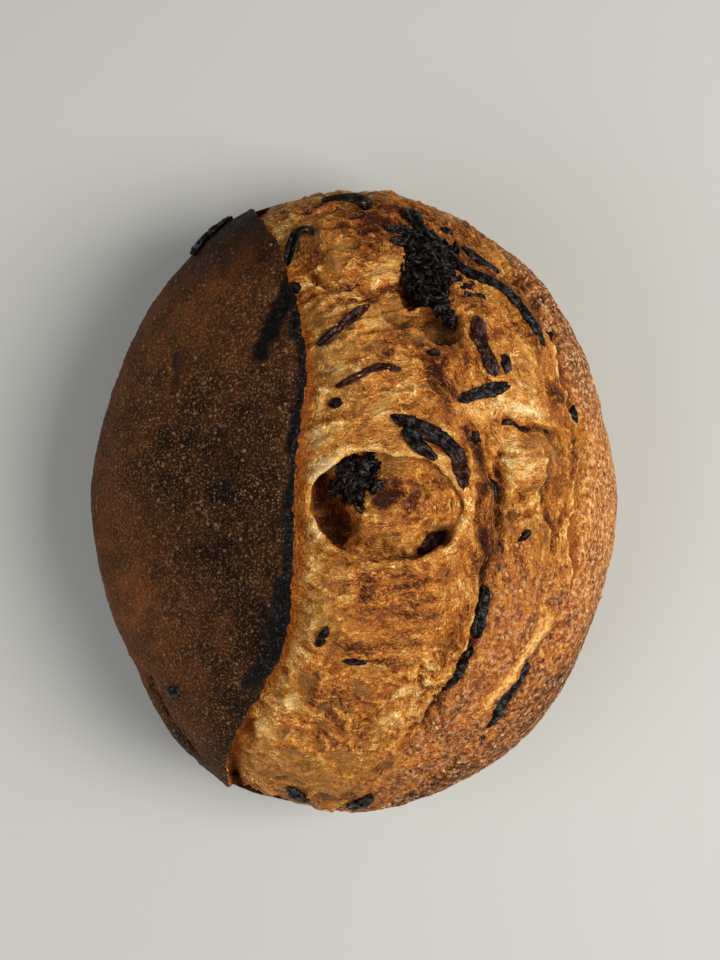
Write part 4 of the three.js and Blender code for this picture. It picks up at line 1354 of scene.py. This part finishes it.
def shard_shape(name, wide, thick, bend, rise):
    """A pointed shard 1 m long, to be scaled to its length: a thin bent and flattened rod."""
    spots = [(-0.5, 0, -0.02)]
    for i in range(SHARD_RINGS):
        t = (i + 1) / (SHARD_RINGS + 1)
        swell = math.sin(math.pi * t) ** 0.5
        middle = bend * (math.sin(math.pi * t) + 0.3 * math.sin(7.5 * t))
        for k in range(SHARD_SIDES):
            turn = 2 * math.pi * k / SHARD_SIDES
            y = middle + wide * swell * math.cos(turn)
            spots.append((t - 0.5, y, rise * math.sin(math.pi * t) + thick * swell * math.sin(turn)))
    spots.append((0.5, 0, -0.02))
    sides = []
    tip = len(spots) - 1
    for k in range(SHARD_SIDES):
        n = (k + 1) % SHARD_SIDES
        sides.append((0, 1 + n, 1 + k))
        for a in range(1, tip - SHARD_SIDES, SHARD_SIDES):
            b = a + SHARD_SIDES
            sides.append((a + k, a + n, b + n, b + k))
        sides.append((tip - SHARD_SIDES + k, tip - SHARD_SIDES + n, tip))
    return shape_to_scatter(name, spots, sides)


def skin_material(name, dark, pale, roughness):
    """Baked dough of small things, between two colours by a soft random pattern."""
    material, tree, shader = new_material(name, roughness)
    shader.inputs["Specular IOR Level"].default_value = 0.25
    share = ranged(noise_node(own_place(tree), 420.0, 2.0), 0.35, 0.65)
    feed(blend(share, srgb(dark), srgb(pale)), shader, "Base Color")
    return material


ear_skin = skin_material("ear_blister_skin", "2e1a10", "6b5034", 0.5)
sandy_skin = skin_material("sandy_blister_skin", "8a5526", "dcab72", 0.6)
thread_skin = skin_material("thread_skin", "a4622a", "dda65c", 0.35)
thread = shard_shape("thread", *THREAD_FORM)

# Each kind: its shape, where it lies, how many to the square metre, sizes, swing, seed, finish.
SCATTERED = {
    "ear_blisters": (blister, "ear_blistered", 90000.0, 0.2, 0.9, ANY_WAY, 3, ear_skin),
    "sandy_blisters": (blister, "sandy_blistered", 110000.0, 0.25, 0.9, ANY_WAY, 4, sandy_skin),
    "crumb_threads": (thread, "hair", 330000.0, 1.0, 3.6, 0.6, 5, thread_skin),
}
for name, kind in SCATTERED.items():
    add_piece(name, [scattered_over(bread_mesh, *kind)], [])
for shape in (blister, thread):
    bpy.data.objects.remove(shape)

# --- Onion strips ---------------------------------------------------------------------------
# Thin strips of onion were folded into the dough. Where they lay open to the oven they dried
# to black, crinkled ribbons; the sheltered ones stayed dark red.

STRIP_LIFT = 0.55  # how far the middle of a strip stands off the skin, where none is given
STRIP_STEP = 0.55
STRIP_STIFFNESS = 60
LEAST_STEPS = 10
SPINE_STEPS = 60
STRIP_SIDES = 26
CRINKLE = 0.62  # the depth of a strip's crinkles, as a share of its thickness
ONION_ROUGHNESS = 0.34
# Colours of dried onion, dark and light.
CHARRED = ("040303", "1a110c")
DARK_RED = ("1d0907", "4a1f14")
SHELTERED_RED = ("2a0d08", "59230f")
BURNT_FLECK = "5c3318"

# Each strip: path in plan, width, thickness, and for some how far it stands off the skin.
STRIPS = {
    "onion_top_bar": (((-10.5, 102), (-3, 102), (3.5, 101), (4.5, 97)), 4.4, 2.8),
    "onion_curl": (
        ((-22.5, 80.5), (-21.5, 86), (-18.5, 90.5), (-15, 91), (-12.8, 87.5)), 4, 2.6,
    ),
    "onion_rim": (((-54, 84), (-50.5, 91.5), (-42, 99.5)), 4.5, 3.4, 0.8),
    "onion_diagonal": (((-11.5, 52), (-4.3, 57), (5, 64.5)), 3, 2.2),
    "onion_thread": (((-5.5, 37.5), (2, 40.5), (8, 44), (15, 42.5)), 1.9, 1.8),
    "onion_long": (
        ((31, 84.5), (34.5, 77), (42, 71), (49, 66), (54.5, 58), (61, 51)), 3.6, 2.4,
    ),
    "onion_upper": (((36, 85.5), (42, 81), (48, 76.5)), 2.6, 2),
    "onion_tail": (((37.5, 58), (39, 50), (41.5, 44.5), (43.5, 40)), 4.2, 3),
    "onion_bar": (((33, 33), (41, 35.5), (48.5, 37.5)), 3.8, 2.6),
    "onion_purple": (((49, 25.5), (57, 26.5), (66, 23.5)), 3.6, 2.4, -0.6),
    "onion_hollow": (((22, -16), (31, -9.5)), 4, 2.4),
    "onion_inner_score": (((44.2, -27), (42.8, -36), (40.8, -44.5)), 4.2, 3.4),
    "onion_inner_tail": (((39.6, -48), (35.5, -55), (29.5, -62.5)), 3, 2.6),
    "onion_outer_score": (((59, -54), (51, -64.5), (44.5, -75)), 3.8, 3),
    "onion_low_left": (((-22, -97.5), (-19.5, -101.5), (-17, -105)), 5, 3.4),
    "onion_low_right": (((-2.5, -105.5), (2, -102.5), (6, -98)), 4.6, 3),
}
FORK = (
    (((12, 28), (20, 24), (27.5, 21), (33.5, 15.5), (34.5, 5)), 5, 3.2),
    (((15, 26), (19.5, 19), (26, 14.5)), 3.4, 2.8),
)
CLUMP_STRIPS = (
    (((18, 97), (20.5, 92), (24, 86)), 4.6, 3.4),
    (((10.5, 89.5), (15.5, 88.3), (22, 88)), 2.8, 2.4),
    (((12, 84.8), (17, 83.8), (24, 84.5)), 3.6, 2.8),
)
REDDISH = ("onion_thread", "onion_purple", "onion_tail", "onion_hollow", "onion_diagonal")

skin = BVHTree.FromPolygons([tuple(v) for v in vertices], faces)
PROBE_START = 30
RIM_SHARE = 0.985


def crown_point(x, y):
    """The point of the bread's crown over a plan point, and the direction out of it, in mm."""
    pull = min(1, RIM_SHARE / math.hypot(x / HALF_WIDTH, y / HALF_LENGTH))
    px = x * pull
    py = y * pull
    rise = math.sqrt(1 - (px / HALF_WIDTH) ** 2 - (py / HALF_LENGTH) ** 2)
    out = Vector((px / HALF_WIDTH**2, py / HALF_LENGTH**2, rise / CROWN_RISE)).normalized()
    start = Vector((px, py, WIDEST_AT + CROWN_RISE * rise)) + out * PROBE_START
    hit = skin.ray_cast(start * MM, -out)[0]
    return hit / MM, out


def strip_spine(path, lift):
    """The middle line of a strip that lies on the crown, and the direction out at each point."""
    points = path_points(path, SPINE_STEPS)
    run = np.concatenate([[0], np.cumsum(np.hypot(*np.diff(points, axis=0).T))])
    count = max(LEAST_STEPS, round(run[-1] / STRIP_STEP))
    at = np.linspace(0, run[-1], count + 1)
    spine = []
    outs = []
    for x, y in zip(np.interp(at, run, points[:, 0]), np.interp(at, run, points[:, 1])):
        hit, out = crown_point(x, y)
        spine.append(hit + out * lift)
        outs.append(out)
    spine = np.array(spine)
    for _ in range(STRIP_STIFFNESS):
        spine[1:-1] = (spine[1:-1] * 2 + spine[:-2] + spine[2:]) / 4
    return spine, np.array(outs)


# The strip: a flattened tube with pointed ends swept along its spine, then crinkled.
strip_tree, given, result = new_group(
    "GeometryNodeTree",
    "onion_strip",
    {
        "Geometry": "Geometry", "Width": 0.004, "Thickness": 0.003, "Crinkle": 0.0006,
        "Phase": 0.0, "Material": "Material",
    },
    {"Geometry": "Geometry"},
)
phase = given["Phase"]
line = field(strip_tree, "GeometryNodeMeshToCurve", {"Mesh": given["Geometry"]})
ends = {"Curve": line, "Normal": kept_field(strip_tree, "out", "FLOAT_VECTOR")}
line = field(strip_tree, "GeometryNodeSetCurveNormal", ends, mode="FREE")
run = field(strip_tree, "GeometryNodeSplineParameter", out="Factor")
taper = calc("SQRT", 1.0 - calc("POWER", calc("ABSOLUTE", run * 2.0 - 1.0), 3.0))
swell = calc("SINE", run * 9.0 + phase) * 0.16 + 1.0
fullness = calc("MAXIMUM", taper * swell, 0.02)
outline = field(
    strip_tree, "GeometryNodeCurvePrimitiveCircle", {"Resolution": STRIP_SIDES, "Radius": 0.5}
)
keep = add_node(strip_tree, "GeometryNodeCaptureAttribute")
keep.capture_items.new("FLOAT", "Turn")
feed(outline, keep, 0)
feed(field(strip_tree, "GeometryNodeSplineParameter", out="Factor"), keep, "Turn")
turn = Field(strip_tree, keep.outputs["Turn"]) * (2 * math.pi)
flat_size = joined(strip_tree, given["Thickness"], given["Width"], 1.0)
ends = {"Geometry": Field(strip_tree, keep.outputs[0]), "Scale": flat_size}
outline = field(strip_tree, "GeometryNodeTransform", ends)
ends = {"Curve": line, "Profile Curve": outline, "Scale": fullness, "Fill Caps": True}
swept = field(strip_tree, "GeometryNodeCurveToMesh", ends)
ends = {"Geometry": swept, "Distance": 0.02 * MM}
swept = field(strip_tree, "GeometryNodeMergeByDistance", ends)

# Crinkles: creases along the strip, lumps, grit, and a top that fell in as it dried.
spot = field(strip_tree, "GeometryNodeInputPosition")
ribs = noise_node(joined(strip_tree, calc("COSINE", turn), calc("SINE", turn), phase), 2.2, 2.0, 0.6)
lump_noise = noise_node(spot, 420.0, 3.0, 0.6)
grit = (noise_node(spot, 1150.0, 3.0, 0.65) - 0.5) * 0.55
creases = calc("SINE", turn * 3.0 + ribs * 9.0) * 0.34
sunk = calc("POWER", calc("MAXIMUM", calc("COSINE", turn), 0.0), 3.0) * 0.35
push = ((ribs + lump_noise - 1.0) + creases - sunk + grit) * given["Crinkle"]
offset = vector_calc("SCALE", field(strip_tree, "GeometryNodeInputNormal"), push)
swept = field(strip_tree, "GeometryNodeSetPosition", {"Geometry": swept, "Offset": offset})
swept = field(strip_tree, "GeometryNodeSetShadeSmooth", {"Geometry": swept})
hand_out(swept, given["Material"], result)


def strip_mesh(material, path, width, thick, lift=STRIP_LIFT):
    spine, outs = strip_spine(path, lift)
    mesh = bpy.data.meshes.new("spine")
    mesh.from_pydata((spine * MM).tolist(), [(i, i + 1) for i in range(len(spine) - 1)], [])
    keep_values(mesh, "out", "FLOAT_VECTOR", outs.astype(np.float32).ravel())
    values = {
        "Width": width * MM, "Thickness": thick * MM, "Crinkle": CRINKLE * thick * MM,
        "Phase": float(path[0][0]), "Material": material,
    }
    return grown(strip_tree, mesh, values)


def onion_material(name, colours, sheltered=()):
    """Dried onion: dark, with lighter ribs and dull burnt patches, red where it was sheltered."""
    material, tree, shader = new_material(name, ONION_ROUGHNESS)
    at = own_place(tree)
    patches = noise_node(at, 420.0, 4.0, 0.65)
    grit = noise_node(at, 2200.0, 3.0, 0.6)
    share = ranged(patches, 0.45, 0.72)
    colour = blend(share, *map(srgb, colours))
    if sheltered:
        from_y, to_y = sheltered
        red = ranged(split(at)[1], from_y * MM, to_y * MM, 0.8, 0.0)
        colour = blend(red, colour, blend(share, *map(srgb, SHELTERED_RED)))
    flecks = ranged(grit, 0.58, 0.68) * 0.45
    feed(blend(flecks, colour, srgb(BURNT_FLECK)), shader, "Base Color")
    rough = ranged(patches, 0.3, 0.7, ONION_ROUGHNESS - 0.1, ONION_ROUGHNESS + 0.2)
    feed(rough, shader, "Roughness")
    set_gloss(shader, ranged(patches, 0.47, 0.6, 0.03, 0.9), 0.05)
    set_bump(shader, patches + grit * 0.35, 0.9 * MM)
    return material


charred_onion = onion_material("charred_onion", CHARRED)
dark_red_onion = onion_material("dark_red_onion", DARK_RED)
half_red_onion = onion_material("half_red_onion", CHARRED, (11, 19))

for name, strip in STRIPS.items():
    material = dark_red_onion if name in REDDISH else charred_onion
    mesh = strip_mesh(material, *strip)
    add_piece(name.replace("onion_", "strip_"), [mesh], [name])
fork_meshes = [strip_mesh(half_red_onion, *strip) for strip in FORK]
add_piece("strip_fork", fork_meshes, ["onion_fork"])

# --- Onion lumps and flecks -----------------------------------------------------------------
# Where several strips lay together they burnt to one crumbling lump, covered with loose
# chips. Small flecks of onion lie all over the crumb and the crust.

# Each lump: middle, half sizes, turn, height, unevenness, sides and roughness, then how many
# chips lie on it to the square metre, their seed, and the strips that lie across it.
LUMPS = {
    "clump": ((27, 75.5, 9.5, 17, 28, 6.5, 0.16, 72, 0.26), 430000.0, 8, CLUMP_STRIPS),
    "chunk": ((2.5, 8.5, 7, 7.5, 20, 5.5, 0.2, 56, 0.24), 300000.0, 9, ()),
}
# Each fleck: middle, half sizes and turn. Height, unevenness, sides and roughness are shared.
FLECKS = (
    (27, 51.8, 4, 1.6, 8), (25.3, 48, 2.3, 0.9, -10), (31.4, 92, 2.6, 1.5, -10),
    (38.5, 21.9, 2.8, 2.6, 0), (75.6, 30, 1.8, 4.2, -3), (67.8, 57.5, 1.8, 3.2, -30),
    (55.3, -10.2, 2.8, 1.3, 35), (46, 4.6, 2, 3.6, 5), (-9.7, -42, 1.6, 3.8, -28),
    (0.7, -49.1, 4, 1.3, -2), (-57.5, -61.3, 3.6, 2.2, 30), (-19.6, 73, 2.6, 2, -50),
    (-5.5, 32.6, 2.2, 1.8, 20), (47.2, 44, 1.8, 3.3, 5),
)
FLECK_FORM = (3, 0.08, 20, 0.14)


def lump_mesh(x, y, a, b, turn, height, uneven, sides, roughness):
    """A squashed uneven ball that lies on the crown."""
    hit, out = crown_point(x, y)
    side = Vector((math.cos(math.radians(turn)), math.sin(math.radians(turn)), 0))
    side = (side - out * side.dot(out)).normalized()
    front = out.cross(side)
    rings = sides // 2
    polar = (np.pi * np.arange(1, rings) / rings)[:, None]
    around = (2 * np.pi * np.arange(sides) / sides)[None, :]
    wide = np.sin(polar)
    ball = [wide * np.cos(around), wide * np.sin(around), np.cos(polar) + 0 * around]
    ball = np.stack(ball, axis=-1)
    ball = np.concatenate([[[0, 0, 1]], ball.reshape(-1, 3), [[0, 0, -1]]])
    vx, vy, vz = ball.T
    waves = np.sin(5 * vx + 2 * vz) * np.cos(4 * vy) + 0.5 * np.sin(6 * vz + 4 * vy + vx)
    grains = noise(3 * vx + x, 3 * vy, 3 * vz) + 0.6 * noise(7 * vx, 7 * vy + y, 7 * vz)
    rough = 1 + uneven * waves + roughness * grains
    half_sizes = np.array([side * a, front * b, out * height * 0.5])
    spots = np.array(hit) + (ball * rough[:, None]) @ half_sizes
    mesh = smooth_mesh("lump", (spots * MM).tolist(), closed_net(rings - 1, sides))
    mesh.materials.append(charred_onion)
    return mesh


def crumbled(mesh, density, seed):
    """Burnt chips that lie all over a lump."""
    keep_values(mesh, "everywhere", "FLOAT", [1.0] * len(mesh.vertices))
    chip = shard_shape("chip", *CHIP_FORM)
    kind = (chip, "everywhere", density, *CHIP_SIZES, ANY_WAY, seed, charred_onion)
    chips = scattered_over(mesh, *kind)
    bpy.data.objects.remove(chip)
    return chips


for name, (lump, density, seed, strips) in LUMPS.items():
    ball_mesh = lump_mesh(*lump)
    meshes = [ball_mesh, crumbled(ball_mesh, density, seed)]
    meshes += [strip_mesh(charred_onion, *strip) for strip in strips]
    add_piece(name, meshes, ["onion_" + name])
add_piece("flecks", [lump_mesh(*fleck, *FLECK_FORM) for fleck in FLECKS], [])
